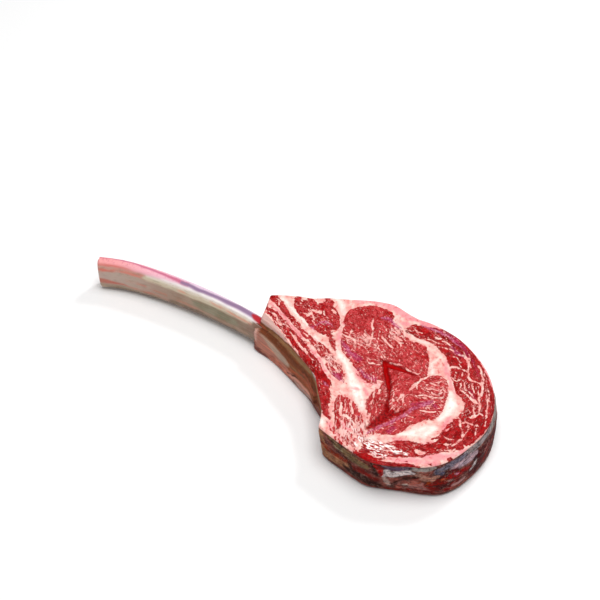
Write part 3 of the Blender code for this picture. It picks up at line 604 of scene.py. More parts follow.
# The tones of the sides: the outside of a cut that has hung and dried, with painted shade in the groove
# along the rib and round the sharper patches. They are patches, each a brush stroke on the wall: rows are
# x, y, z, half width.


def linear(code):
    """A six-digit sRGB colour as linear red, green and blue."""
    values = np.array([int(code[i:i + 2], 16) for i in (0, 2, 4)]) / 255
    return np.where(values <= 0.04045, values / 12.92, ((values + 0.055) / 1.055) ** 2.4)


def laid_over(tones, code, cover):
    """Tones, row by row, with one colour laid over them as thickly as cover says."""
    cover = cover[:, None]
    return tones * (1 - cover) + linear(code) * cover


FAT_COVER, DRIED_FAT, LILAC_FAT, BLUE_FAT = "f0c2b4", "b09a94", "e2d6d6", "7e7a88"
GREY_SKIN, PALE_OLIVE, BROWN, RUST, UMBER = "a69e9a", "c0b496", "84492c", "964a34", "32160f"
DRIED_LEAN, MAROON, FRESH_LEAN, BLOOD = "702420", "480c14", "a81414", "38040a"
LIP = ((-33, 18.5, 2.6), (-28, 16, 3.6), (-20, 12.5, 3.2), (-12, 9, 2.4), (-4, 5, 1.6), (3, 1, 0.5))
TONES = (       # broad and soft: the back, all fat cover, the right end and the side along the rib
    (FAT_COVER, ((-34, 42, 40, 9), (-20, 48, 23, 26), (40, 72, 23, 26), (90, 78, 23, 26),
                 (140, 72, 23, 26), (165, 58, 25, 20), (184, 40, 32, 12), (196, 18, 38, 5))),
    (GREY_SKIN, ((192, 30, 38, 7), (200, 8, 39, 5), (201, -6, 41, 3))),
    (MAROON, ((196, 26, 12, 12), (203, 8, 16, 14), (203, -8, 20, 14), (201, -20, 22, 12),
              (199, -28, 14, 9))),
    ("a0765e", ((69, -69, 42, 3.4), (72, -70, 30, 5), (74, -70, 12, 7), (84, -73, 14, 7), (96, -77, 16, 6),
                (106, -79, 20, 4))),
    ("a87672", ((150, -72, 16, 6), (160, -70, 17, 7), (170, -66, 16, 6), (178, -62, 14, 3))),
    (DRIED_LEAN, ((176, -62, 20, 10), (186, -52, 16, 8))),
    ("7c3426", ((72, -70, 26, 2.5), (78, -72, 22, 3), (90, -75, 24, 3), (100, -78, 28, 3))),
    (UMBER, ((98, -78, 13, 3), (107, -79, 13, 5.5), (114, -81, 14, 7), (122, -79, 11, 6.5),
             (130, -78, 8, 4))),
    (BROWN, ((64, -58, 30, 12), (58, -46, 30, 14), (46, -30, 28, 16), (30, -16, 26, 18), (-20, 8, 30, 16))),
    ("94704c", ((-20, 8, 39, 1.5), (0, 0, 39, 2.4), (14, -7, 39, 3), (30, -15, 40, 3.4),
                (48, -32, 42, 3.4), (57, -44, 42, 3), (66, -64, 40, 4))),
    # dried muscle in a groove along the rib side, darkened with painted shade of the groove
    ("703c24", ((-30, 12, 35, 2), (-21, 9, 34, 2.4), (-7, 4, 32, 2.8), (7, -3, 31, 3), (21, -10, 31, 3.2),
                (36, -18, 33, 3), (50, -33, 34, 2.6))),
    ("b89e8c", ((-26, 9, 25, 3.2), (-14, 4, 21, 5.8), (-4, 0, 19, 5.8), (6, -4, 19, 3.8))),
    ("846040", ((12, -7, 22, 1.6), (22, -12, 22, 2.2), (32, -17, 24, 1.6))),
    ("a8563a", ((12, -8, 16, 1.2), (22, -13, 20, 1.8), (34, -19, 23, 2), (44, -27, 27, 1.8))),
    ("b87a6a", ((-33, 8, 18, 10), (-27, 6, 16, 9), (-20, 4, 12, 7), (-8, 0, 8, 5.5), (4, -5, 8, 4.5))),
    ("c87e6c", ((-14, 2, 4, 3), (0, -4, 6, 4), (12, -8, 8, 4))),
    ("d49684", ((14, -9, 8, 3.6), (26, -15, 8, 4.4), (34, -19, 9, 3.8), (42, -24, 11, 2.4))),
    ("e8b4a6", ((-31, 12, 33, 1.8), (-34, 9, 26, 2.2), (-35, 8, 14, 2))),
    ("642c19", ((46, -31, 19, 3), (54, -38, 22, 3.6), (60, -48, 30, 2.4))),
    (FAT_COVER, ((-31, 17, 43, 3), (-33, 28, 24, 14), (-35, 40, 20, 14))),
)
PATCHES = (     # sharper, each ringed with painted shade, as of a crease
    (DRIED_LEAN, ((202, -17, 10, 2.4), (203, -13, 17, 3), (203, -9, 23, 2.8), (204, 0, 24, 2))),
    ("a86a68", ((201, -17, 24, 0.8), (202, -13, 26, 1), (202, -7, 29, 0.8))),
    ("aaa2a4", ((191, -36, 43, 2.4), (194, -29, 41, 4), (197, -20, 41, 4.2), (199, -12, 40.5, 3.4),
                (200, -3, 40, 2.6))),
    # the right of the front: a blue-grey strap over red lean
    ("8c0a10", ((180, -57, 28, 2.4), (184, -54, 27, 3.4), (188, -49, 25, 3.8), (193, -41, 23, 3.6),
                (197, -34, 20, 2))),
    ("d8a0b8", ((189, -48, 26, 0.8), (190, -47, 25, 0.9))),
    ("c8b2bc", ((184, -51, 36, 1.4), (188, -45, 34, 3.4), (192, -38, 34, 5), (196, -32, 33, 5),
                (198, -27, 33, 3.2))),
    (LILAC_FAT, ((197, -33, 17, 1.7), (198, -29, 20, 1.8), (199, -27, 25, 1.2))),
    (MAROON, ((180, -57, 33, 1.8), (185, -51, 32.5, 1.8), (189, -44, 31, 1))),
    (BLUE_FAT, ((174, -61, 38, 1.8), (179, -56, 39.5, 2.8), (183, -51, 40, 3), (188, -43, 41, 2.4),
                (193, -34, 41, 1.6))),
    ("585a6e", ((175, -61, 35, 1.6), (179, -58, 34, 2.2))),
    (RUST, ((179, -59, 26, 1.4), (183, -56, 24, 1.4))),
    (BLOOD, ((180, -60, 14, 2.2), (183, -58, 15, 2.2), (186, -54, 17, 1.8), (188, -51, 18, 1))),
    (DRIED_FAT, ((184, -56, 21, 0.6), (187, -52, 20, 0.8), (189, -50, 18, 0.6))),
    (FRESH_LEAN, ((182, -58, 8, 1.4), (187, -53, 8, 1.4))),
    ("b08888", ((188, -51, 11, 2), (191, -46, 10, 2.2), (194, -41, 11, 1.4))),
    # the middle of the front: grey skin, torn open over dark red-brown arcs
    (GREY_SKIN, ((153, -72, 44, 1.6), (160, -69, 42, 2.4), (167, -66, 42, 2.6), (173, -61, 43, 1.6))),
    ("ac8478", ((160, -70, 36, 2.4), (167, -68, 30, 3.6), (172, -65, 28, 3.4), (176, -61, 31, 2))),
    (RUST, ((169, -67, 20, 0.9), (171, -66, 25, 1.1))),
    (RUST, ((162, -69, 21, 0.6), (164, -69, 24, 0.7))),
    (BLOOD, ((155, -72, 29, 1.3), (159, -70, 30, 1.7), (163, -69, 31, 0.9))),
    ("9c6058", ((146, -73, 9, 2.2), (151, -73, 19, 3.2), (159, -71, 22, 3.6))),
    # a thin pale line across the arc: painted highlight
    ("d8ccc4", ((150, -73, 15, 0.7), (153, -72, 17, 1.2), (157, -71, 17, 0.6))),
    (UMBER, ((140, -76, 9, 1), (145, -75, 20, 1.3), (151, -73, 27, 1.4), (158, -71, 31, 1.2))),
    (DRIED_LEAN, ((136, -76, 4, 1.6), (146, -72, 5, 1.6), (160, -69, 9, 1.8), (175, -63, 8, 2))),
    (LILAC_FAT, ((135, -79, 27, 2), (137, -79, 37, 2.6), (140, -77, 31, 4.2), (146, -75, 35, 4.2),
                 (153, -72, 38, 3.6), (157, -71, 37, 2))),
    (DRIED_FAT, ((135, -79, 24, 1.6), (137, -77, 17, 2.6), (139, -76, 12, 2))),
    ("5c4c5c", ((133, -79, 43, 1.3), (140, -77, 41, 2.6), (146, -75, 41, 2.8), (153, -71, 43, 1.8))),
    # its left: olive skin above, brown below, black-red at the foot
    ("74604a", ((78, -73, 44, 1.6), (86, -75, 42, 3), (94, -77, 39, 4), (102, -79, 37, 5.5),
                (112, -81, 36, 4.5), (119, -82, 37, 3))),
    (DRIED_LEAN, ((108, -80, 22, 3.5), (116, -82, 27, 3.4), (121, -81, 23, 3), (128, -79, 18, 2.4))),
    (UMBER, ((80, -74, 34, 0.6), (88, -76, 31, 0.9), (100, -79, 30, 1), (104, -79, 24, 1.3),
             (106, -79, 14, 1.4))),
    (PALE_OLIVE, ((84, -75, 39, 0.6), (88, -76, 35.5, 0.7), (94, -77, 37, 0.5))),
    (MAROON, ((77, -72, 33, 1.3), (78, -72, 30, 1))),
    (UMBER, ((123, -81, 43, 1.2), (126, -81, 37, 1.6), (129, -80, 27, 1.4))),
    (FRESH_LEAN, ((127, -81, 42, 2), (131, -80, 39, 3), (132, -79, 33, 2.4), (132, -79, 28, 1.4))),
    # the side along the rib
    ("b86a52", ((-28, 6, 6, 0.6), (-12, 2, 7, 0.9), (2, -3, 7, 0.6))),
    (UMBER, ((8, -6, 7, 0.7), (15, -9, 11, 1), (20, -12, 14, 0.6))),
    (DRIED_FAT, ((16, -11, 5, 1), (32, -18, 5, 1.2), (42, -25, 6, 1))),
    (RUST, ((24, -13, 27, 1), (33, -17, 29, 1.4), (45, -29, 29, 1.6), (52, -38, 34, 1.2))),
    (RUST, ((-31, 13, 38, 1.4), (-26, 11, 37, 1.1), (-20, 9, 36.5, 0.6))),
    ("d0a8a0", ((-33, 18, 45, 3.4), (-27, 15, 44, 4.4), (-20, 12, 44.5, 4), (-12, 8.5, 45, 3.2),
                (-4, 4.5, 45, 2.2), (4, 0.5, 44, 1))),
    ("c4c4cc", ((38, -20, 44, 0.8), (41, -22, 43.5, 1.4), (44, -25, 44, 0.8))),
    # the cut left end
    ("c04a4a", ((-32, 28, 42, 1.2), (-33, 30, 30, 1.6))),
    ("b83a3c", ((-33, 39, 42, 2), (-34, 40, 34, 1.4))),
)
tone = np.tile(linear("7a4a44"), (count, 1))
patchy = place + 0.9 * wobble + 0.9 * np.stack([cloud(place, 3.0, 7.0 + k) for k in range(3)], axis=1)
for code, rows in TONES:
    tone = laid_over(tone, code, eased(stroke(patchy, rows), -2.4, 1.6))
broken = 0.55 * eased(cloud(place, 5.0, 12.0), -0.3, 0.3)
for code, rows in PATCHES:
    deep_in = stroke(patchy, rows)
    # Painted shade: a dark ring, broken up by noise, just outside the patch, as in a crease.
    tone *= (1 - broken * np.exp(-((deep_in + 1.1) / 0.7) ** 2))[:, None]
    tone = laid_over(tone, code, eased(deep_in, -0.9, 0.6))
front = eased(place[:, 0], 48, 76) * (1 - eased(place[:, 1], 15, 40))   # of the cut: wetter, so richer
tone = np.clip(tone + 0.3 * front[:, None] * (tone - tone.mean(axis=1)[:, None]), 0, 1)
wall = np.where(on_wall, eased(ring_number, 0.4, 2.2), 0)
wall = np.where(on_face, eased(stroke(wavy, LIP), -0.6, 0.6), wall)
around = np.column_stack([way * 15, height])    # streaks of the wall run round it


def store(mesh, name, values):
    """Keep a quantity of a mesh's points as an attribute."""
    values = np.asarray(values, float)
    kind = "FLOAT" if values.ndim == 1 else "FLOAT_VECTOR"
    layer = mesh.attributes.new(name, kind, "POINT")
    layer.data.foreach_set("value" if values.ndim == 1 else "vector", values.ravel())


for name, values in (("lean", lean), ("marbling", marbling), ("darkness", darkness), ("grain", grain),
                     ("silver", silver), ("violet", violet), ("bloody", bloody), ("crevice", crevice),
                     ("stain", stain), ("mosaic", mosaic), ("front", front), ("wall", wall),
                     ("around", around), ("tone", tone), ("fringe", fringe), ("cream", cream),
                     ("blush", blush)):
    store(flesh_mesh, name, values)
flesh_mesh.update()
flesh_mesh.shade_smooth()
flesh = placed("flesh", flesh_mesh)
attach(flesh, "root")
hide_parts("fat_web", *MUSCLES)

# The flesh's material: raw muscle, deep red and wet, with threads of pink-white fat between its
# fibre bundles; waxy fat between the muscles; violet silverskin; dried, dull sides. Fibres are much
# finer than a millimetre, so their grit is drawn about 1.6 mm wide, to show.


class Graph:
    """A material's node tree, built one node at a time."""

    def __init__(self, name):
        self.material = bpy.data.materials.new(name)
        self.material.use_nodes = True
        self.tree = self.material.node_tree
        self.shader = self.tree.nodes["Principled BSDF"]

    def add(self, kind, inputs=(), output=0, **settings):
        """One node with its settings and inputs; returns one of its outputs."""
        made = self.tree.nodes.new(kind)
        for key, value in settings.items():
            setattr(made, key, value)
        for key, value in dict(inputs).items():
            self.plug(made.inputs[key], value)
        return made.outputs[output]

    def plug(self, socket, value):
        """Another node's output, or a constant, into a socket."""
        if isinstance(value, bpy.types.NodeSocket):
            self.tree.links.new(value, socket)
        else:
            socket.default_value = value

    def maths(self, operation, a, b=0.0, clamp=False):
        return self.add("ShaderNodeMath", {0: a, 1: b}, operation=operation, use_clamp=clamp)

    def plus(self, a, b):
        return self.maths("ADD", a, b)

    def minus(self, a, b):
        return self.maths("SUBTRACT", a, b)

    def times(self, a, b):
        return self.maths("MULTIPLY", a, b)

    def swing(self, value, size):
        """A noise made to swing about nothing, by a size."""
        return self.times(self.minus(value, 0.5), size)

    def step(self, value, low, high, to_low=0.0, to_high=1.0):
        """A smooth step of a value between two limits."""
        return self.add("ShaderNodeMapRange", {"Value": value, "From Min": low, "From Max": high,
                                               "To Min": to_low, "To Max": to_high},
                        interpolation_type="SMOOTHSTEP")

    def mix(self, share, a, b, blend="MIX"):
        """One colour over another; a colour can be a six-digit code."""
        a, b = ((*linear(c), 1) if isinstance(c, str) else c for c in (a, b))
        return self.add("ShaderNodeMix", {0: share, 6: a, 7: b}, output=2, data_type="RGBA",
                        blend_type=blend)

    def field(self, name, output="Fac"):
        """A quantity that the mesh carries."""
        return self.add("ShaderNodeAttribute", output=output, attribute_name=name)

    def places(self):
        """Places on the piece, in mm."""
        metres = self.add("ShaderNodeTexCoord", output="Object")
        return self.add("ShaderNodeVectorMath", {0: metres, "Scale": 1 / MM}, operation="SCALE")

    def noise(self, where, to_a_mm, detail=3.0, rough=0.55, warp=0.0, output="Fac"):
        """Smooth noise, with so many lumps to a mm."""
        return self.add("ShaderNodeTexNoise", {"Vector": where, "Scale": to_a_mm, "Detail": detail,
                                               "Roughness": rough, "Distortion": warp}, output=output)

    def cells(self, where, to_a_mm, feature="F1", output="Distance"):
        """Cells, so many to a mm."""
        return self.add("ShaderNodeTexVoronoi", {"Vector": where, "Scale": to_a_mm}, output=output,
                        feature=feature)

    def bump(self, height, distance, strength=1.0, under=None):
        """Relief of some mm, over the normal of another relief if there is one."""
        inputs = {"Height": height, "Distance": distance * MM, "Strength": strength}
        if under:
            inputs["Normal"] = under
        return self.add("ShaderNodeBump", inputs, output="Normal")

    def finish(self, piece, **sockets):
        """Fills the shader's own sockets and gives the material to a piece."""
        for key, value in sockets.items():
            self.plug(self.shader.inputs[key.replace("_", " ")], value)
        piece.data.materials.append(self.material)


g = Graph("raw beef")
at = g.places()
along_grain = g.field("grain", "Vector")
# The grain's coordinates, bent so that nothing in the muscle is straight.
bent = g.noise(at, 0.16, 2, output="Color")
for operation, by in (("ADD", (-0.5, -0.5, -0.5)), ("MULTIPLY", (3.4, 3.4, 0)), ("ADD", along_grain)):
    bent = g.add("ShaderNodeVectorMath", {0: bent, 1: by}, operation=operation)

# Lean or fat: the distance to a muscle's edge, made ragged.
ragged = g.swing(g.noise(at, 0.42, 4, 0.65), 3.0)
fingers = g.swing(g.noise(along_grain, 0.42, 3, 0.6), g.times(g.field("fringe"), 2.2))
edge = g.plus(g.plus(g.field("lean"), ragged), fingers)
is_lean = g.step(edge, -0.25, 0.35)


def spread(name, roughly, low, high):
    """Where something drawn on the flesh lies, with a soft edge that a noise makes rough."""
    return g.step(g.plus(g.field(name), roughly), low, high)


def threads(to_a_mm, beads, share, low, high, widest):
    """Threads of fat between cells of the lean, thick where there are beads and plenty of marbling."""
    thick = g.times(g.step(g.plus(beads, g.times(plenty, share)), low, high), widest)
    gap = g.maths("DIVIDE", g.cells(bent, to_a_mm, "DISTANCE_TO_EDGE"), g.plus(thick, 0.001))
    return g.maths("SUBTRACT", 1.0, gap, clamp=True)


# Marbling: threads between the bundles, thick where a slow noise is high, and small flecks.
amount = g.field("marbling")
plenty = g.plus(g.swing(g.noise(at, 0.075, 2), 1.6), amount)
coarse = g.step(threads(0.24, g.noise(bent, 0.55, 3, 0.6), 0.26, 0.62, 0.9, 0.17), 0.1, 0.6)
fine = g.step(threads(0.45, g.noise(bent, 0.8, 2, 0.6), 0.2, 0.64, 0.94, 0.18), 0.1, 0.7)
flecks = g.step(g.plus(g.noise(along_grain, 0.8, 2, 0.7), g.times(plenty, 0.10)), 0.68, 0.76)
marble = g.maths("MAXIMUM", g.maths("MAXIMUM", coarse, g.times(fine, 0.85)), g.times(flecks, 0.8))

# Lean: bundles of fibre, each its own red; bright and wet in places, magenta under silverskin.
bundle = g.cells(bent, 0.62, output="Color")
bundle_edge = g.cells(bent, 0.62, "DISTANCE_TO_EDGE")
grit = g.noise(at, 0.62, 3, 0.65)
gritty = g.step(grit, 0.4, 0.6)
shade = g.plus(g.times(bundle, 0.35), g.times(g.noise(at, 0.24, 4, 0.65), 0.9))
shaded = g.step(shade, 0.42, 0.85)
deep = g.mix(g.step(g.field("darkness"), 0.15, 1.05),
             g.mix(shaded, "9c080c", "cf4448"), g.mix(shaded, "7c0306", "b81c20"))
deep = g.mix(g.step(bundle_edge, 0.0, 0.09, 0.22, 0.0), deep, "d47a76")
magenta = spread("violet", ragged, -1.5, 1.5)
deep = g.mix(g.times(magenta, 0.65), deep, g.mix(gritty, "901440", "b83a68"))
blood = spread("bloody", ragged, -1.6, 1.8)
deep = g.mix(g.times(blood, 0.8), deep, g.mix(g.step(shade, 0.42, 0.8), "7a0000", "b40408"))
deep = g.mix(g.step(grit, 0.36, 0.5, 0.5, 0.0), deep, "600206")
red = g.mix(g.times(marble, g.minus(0.95, g.times(blood, 0.4))), deep,
            g.mix(g.step(amount, 0.9, 1.7), "f4bcb4", "fff0ec"))

# Fat: cream in the thick pools, pinker in thin seams and near the muscle, with red traces.
cloudy = g.noise(at, 0.15, 4, 0.6)
fat = g.mix(g.step(cloudy, 0.34, 0.66), "f6cfc4", "ec9f98")
creamy = spread("cream", g.swing(cloudy, 7.0), -2.0, 2.2)
fat = g.mix(creamy, fat, g.mix(g.step(cloudy, 0.4, 0.62), "fcf2ea", "f6dcd2"))
rosy = spread("blush", g.swing(cloudy, 6.0), -2.0, 2.0)
fat = g.mix(g.times(rosy, 0.75), fat, "ee8f98")
traces = g.step(g.noise(at, 0.3, 4, 0.7, 0.6), 0.53, 0.68)
fat = g.mix(g.times(traces, g.minus(0.7, g.times(creamy, 0.5))), fat, "d04a4a")
face = g.mix(is_lean, fat, red)
rim_of_lean = g.step(g.maths("ABSOLUTE", g.minus(edge, 0.6)), 0.0, 1.0, 1.0, 0.0)
face = g.mix(g.times(rim_of_lean, 0.38), face, "a01218")

# Silverskin: a violet film over the lean, streaked along its length.
film = spread("silver", g.times(ragged, 0.7), -0.5, 0.9)
face = g.mix(g.times(film, g.step(g.noise(at, 0.38, 3), 0.35, 0.6, 0.2, 0.75)), face,
             g.mix(g.step(grit, 0.42, 0.6), "a83a60", "d88eac"))
# The crevice: thin red juice over dark lean.
pooled = spread("stain", g.times(ragged, 1.6), -1.8, 0.9)
face = g.mix(g.times(pooled, 0.96), face, g.mix(gritty, "640004", "a40a0e"))
depth = g.plus(g.field("crevice"), ragged)
juice = g.step(g.plus(depth, g.times(g.noise(at, 0.23, 3), 2.0)), 0.6, 2.8)
face = g.mix(g.step(depth, -1.4, 0.8), face, g.mix(juice, "6c0002", "a80204"))
# The pavement of white fat in the front of the cap.
tiles = g.noise(along_grain, 0.62, 3, 0.62, 0.6)
paved = g.mix(g.step(tiles, 0.44, 0.50), "980a0c", g.mix(g.step(tiles, 0.49, 0.56), "f0a8a2", "fffaf6"))
is_paved = spread("mosaic", g.times(ragged, 0.9), -0.8, 0.8)
face = g.mix(g.times(is_paved, g.step(g.noise(at, 0.14, 2), 0.3, 0.45, 0.5, 1.0)), face, paved)

# The sides: the wall's own tones, mottled and streaked round the cut, with painted shade in folds.
mottle = g.step(g.noise(at, 0.21, 5, 0.7), 0.36, 0.56, 0.55, 0.0)
on_front = g.field("front")
mostly_front = g.step(on_front, 0, 1, 0.3, 1)
streaky = g.noise(g.field("around", "Vector"), 0.55, 5, 0.65, 0.4)
side_colour = g.mix(g.times(on_front, mottle), g.field("tone", "Vector"), "200204")
side_colour = g.mix(g.times(g.step(streaky, 0.36, 0.48, 0.75, 0.0), mostly_front), side_colour, "240604")
side_colour = g.mix(g.step(streaky, 0.52, 0.66, 0.0, 0.9), side_colour, "ffd8c8", "SOFT_LIGHT")
# Painted shade: near-black lines where the dried skin folds.
fold_shade = g.maths("ABSOLUTE", g.minus(g.noise(at, 0.085, 4, 0.6, 1.2), 0.5))
side_colour = g.mix(g.times(g.step(fold_shade, 0.0, 0.022, 0.75, 0.0), on_front), side_colour, "1c0204")
films = g.maths("ABSOLUTE", g.minus(g.noise(at, 0.12, 4, 0.6, 1.0), 0.46))
side_colour = g.mix(g.times(g.step(films, 0.0, 0.014, 0.38, 0.0), mostly_front), side_colour, "d8b4a4")
is_wall = spread("wall", g.times(ragged, 0.12), 0.25, 0.75)
colour = g.mix(is_wall, face, side_colour)

# The relief of the fibres, and the wet shine: most on the lean, least on the dried sides.
grainy = g.bump(g.plus(g.times(bundle_edge, 1.5), g.noise(at, 0.7, 3, 0.6)), 0.35, 0.7)
normal = g.bump(g.noise(at, 0.26, 4, 0.6), 0.8, 0.6, grainy)
fat_rough, lean_rough, side_rough = ((rough, rough, rough, 1) for rough in (0.38, 0.26, 0.62))
wet = g.mix(is_wall, g.mix(is_lean, fat_rough, lean_rough), side_rough)
g.finish(flesh, Base_Color=colour, Normal=normal, Roughness=wet, Specular_IOR_Level=0.04,
         Subsurface_Weight=0.1, Subsurface_Radius=(1.0, 0.35, 0.25), Subsurface_Scale=0.0015)

# ---------------------------------------------------------------------------------------------
# The rib: a flat, curved bar of bone with a spongy middle, scraped clean with a knife and sawn
# off. It is swept ring by ring, and its surface is read from the CAD's bone.
# ---------------------------------------------------------------------------------------------
BONE_SIDES, BONE_STEP, TIP_RINGS = 120, 1.1, 12
MID, HALF_DEEP = 21.0, 18.0         # height of its middle, and from there to its edges
TIP_FROM, SAWN_END, INNER_END = -194.0, -201.8, 50      # x where its bare end begins and stops
stations = np.linspace(TIP_FROM, 44, 60)
middles = []
for x in stations:
    far = rib.ray_cast(Vector((x, 100, MID)), Vector((0, -1, 0)))[0]
    near = rib.ray_cast(Vector((x, -100, MID)), Vector((0, 1, 0)))[0]
    middles.append((far.y + near.y) / 2)
fit = np.polynomial.Polynomial.fit(stations, middles, 7)
slope = fit.deriv()
tip_way = Vector((-1, -slope(TIP_FROM), 0)).normalized()
tip_start = Vector((TIP_FROM, fit(TIP_FROM), MID))
tip_gap = rib.ray_cast(tip_start, tip_way)[3]
xs = [(tip_start + tip_way * (tip_gap - 0.05)).x]
while xs[-1] < INNER_END:
    xs.append(xs[-1] + BONE_STEP / math.sqrt(1 + slope(xs[-1]) ** 2))
bm = bmesh.new()
bmesh.ops.create_circle(bm, segments=BONE_SIDES, radius=1)
open_edges = bm.edges[:]
for _ in xs[1:]:
    ring, open_edges = extruded(bm, open_edges)
    bmesh.ops.translate(bm, vec=(0, 0, 1), verts=ring)
inner_end = open_edges
open_edges = [e for e in bm.edges if e.is_boundary and e.verts[0].co.z < 0.5]
for k in range(TIP_RINGS):
    ring, open_edges = extruded(bm, open_edges)
    smaller = (TIP_RINGS - k - 1) / (TIP_RINGS - k)
    bmesh.ops.scale(bm, vec=(smaller, smaller, 1), verts=ring)
bmesh.ops.remove_doubles(bm, verts=ring, dist=1e-5)
bmesh.ops.contextual_create(bm, geom=inner_end)
bone_mesh = mesh_of(bm, "rib_bone_detail")

plan = corners_of(bone_mesh)
bone_count = len(plan)
station = np.rint(plan[:, 2]).astype(int)
turn = np.arctan2(plan[:, 1], plan[:, 0])
inward = np.hypot(plan[:, 0], plan[:, 1])
bone_place = np.zeros((bone_count, 3))
across = np.zeros(bone_count)               # mm from the middle of its width, less on the near side
for i in range(bone_count):
    x = xs[station[i]]
    tangent = Vector((1, slope(x), 0)).normalized()
    side = Vector((-tangent.y, tangent.x, 0))
    middle = Vector((x, fit(x), MID))
    out = side * math.cos(turn[i]) + Vector((0, 0, math.sin(turn[i])))
    hit_at, _, _, distance = rib.ray_cast(middle, out)
    bone_place[i] = middle + out * ((distance if hit_at else 1.0) * inward[i])
    across[i] = (Vector(bone_place[i]) - middle).dot(side)
run = np.array(xs)[station] - SAWN_END      # mm from the sawn tip
up = (bone_place[:, 2] - MID) / HALF_DEEP   # -1 at the lower edge, 1 at the upper one
facing = -np.cos(turn)                      # 1 on the outer side of the curve, -1 on the inner
hide = np.where(inward > 0.99, 1.0, 0.0)
scraped = 0.16 * cloud(np.stack([run, up * HALF_DEEP, facing * 7], axis=1), (24, 2.2, 2.2), 3.3)
scraped += 0.2 * cloud(bone_place, 14.0, 5.1)
spongy = (1 - hide) * eased(0.86 - inward, 0, 0.1)
pitted = spongy * (0.5 + 0.5 * cloud(bone_place, 1.5, 6.0))
bone_place -= pitted[:, None] * np.array(tip_way)
out_ways = np.stack([np.zeros(bone_count), np.cos(turn), np.sin(turn)], axis=1)
bone_place += out_ways * (hide * (scraped - 0.3) * eased(run, 1, 5))[:, None]
bone_mesh.vertices.foreach_set("co", (bone_place * MM).ravel())
for name, values in (("run", run), ("up", up), ("facing", facing), ("tip", 1 - hide),
                     ("inward", inward)):
    store(bone_mesh, name, values)
BODY = (        # x, and the cortex's tone there
    (-204, "c0a096"), (-185, "bea498"), (-150, "b89c8c"), (-120, "a48672"), (-100, "9a7c64"),
    (-75, "8c7258"), (-55, "846850"), (-38, "845e4a"),
)
UPPER = (       # the same of its upper edge
    (-205, "f0a09c"), (-180, "f4a4a6"), (-150, "f4b4c0"), (-125, "eec0d0"), (-105, "e4c8da"),
    (-40, "dcc6da"),
)
BONE_TONES = (  # x, z, half width along its sides
    # painted shade: the lower part of the sides darkens towards the bottom edge
    ("a08872", ((-200, 8, 3), (-140, 8, 4))),
    ("866c56", ((-125, 9, 4), (-100, 10, 5), (-60, 12, 6), (-30, 13, 6.5))),
    ("7c6450", ((-190, 4, 2), (-150, 5, 3), (-125, 6, 3))),
    ("6a5240", ((-110, 7, 4), (-60, 8, 5), (-36, 9, 5.4))),
    ("d0998a", ((-200, 34, 4), (-170, 35, 3.4), (-150, 35, 2))),
    ("dc5a48", ((-200, 31, 1.2), (-194, 31, 2), (-186, 32, 1.6), (-181, 32, 0.6))),
    ("e07462", ((-182, 33, 1), (-170, 32, 2.2), (-160, 32, 1.6), (-153, 32, 1.6), (-146, 31, 0.7))),
    ("c05a4a", ((-202, 16, 4), (-194, 15, 3.2), (-182, 14, 1.6), (-172, 13, 0.8))),
    ("c4705e", ((-172, 12, 0.6), (-160, 11.5, 1.2), (-146, 11, 1.6), (-130, 10, 1))),
    ("c88070", ((-172, 21, 0.9), (-162, 21, 1.3), (-152, 20, 1))),
    ("c08470", ((-146, 18, 1), (-132, 18, 1.2))),
    ("b47c64", ((-118, 16, 1.6), (-106, 15, 1.8), (-92, 14, 1))),
    # painted highlight: a cream band under the upper edge, white along its top
    ("d8c8ac", ((-152, 32, 2.5), (-125, 33, 4.4), (-100, 33, 4.8), (-70, 33, 4), (-45, 33, 3))),
    ("f0e4d4", ((-150, 35, 1), (-125, 35.5, 2.4), (-100, 36, 2.6), (-40, 36, 2))),
    ("827a5e", ((-98, 22, 4), (-78, 22, 6), (-58, 21, 5))),
    ("a07c64", ((-90, 14, 2), (-70, 13, 2.4), (-45, 14, 2.4))),
    ("e8a088", ((-118, 31, 0.8), (-108, 31, 0.5))),
    ("e8a088", ((-84, 33.5, 0.6), (-60, 32.5, 1.4), (-40, 32, 1.6))),
    ("d0605c", ((-203, 6, 1), (-201.6, 20, 1), (-201, 34, 0.8))),
)
TOP_TONES = (   # x, mm across from the near side, half width on its upper edge
    # painted highlight: a white gleam along the near edge of the top
    ("fffaf4", ((-160, -6.8, 0.6), (-135, -6.6, 2), (-110, -6.6, 3.2), (-75, -6.6, 3.6), (-30, -6.6, 3.6))),
    ("c86c88", ((-190, 3.6, 0.8), (-168, 3, 1), (-160, 1.6, 1), (-140, 0.4, 1.2), (-118, -0.4, 2),
                (-110, -0.6, 2))),
    ("8c7090", ((-116, -0.6, 1.6), (-96, -1, 1.8), (-75, -0.4, 1.8), (-55, 0.4, 2.4), (-34, 0.4, 2.4))),
    ("e07c8c", ((-202, 2, 1), (-190, 3, 1))),
    ("dc7468", ((-204, -6, 1.4), (-185, -6, 2.2), (-168, -6.4, 1.8), (-158, -6.6, 0.6))),
    ("b00020", ((-40, 1, 0.4), (-38.5, 0.6, 1.8), (-36, 0, 3.2), (-28, -1, 4))),
)
STAIN_WIDEST = 2.3      # mm, half width; what is wider is a tone of the bone itself
scuffed = 0.25 + 0.75 * eased(cloud(bone_place, (7, 7, 2.2), 11.0), -0.35, 0.15)
smudge = np.stack([3 * cloud(bone_place, (9, 9, 3), 1.0), 0.9 * cloud(bone_place, (9, 9, 3), 4.0)], axis=1)


def blended(x, stops):
    """Colours that change smoothly from stop to stop along the bone."""
    colours = np.array([linear(code) for _, code in stops])
    return np.column_stack([np.interp(x, [stop for stop, _ in stops], column) for column in colours.T])


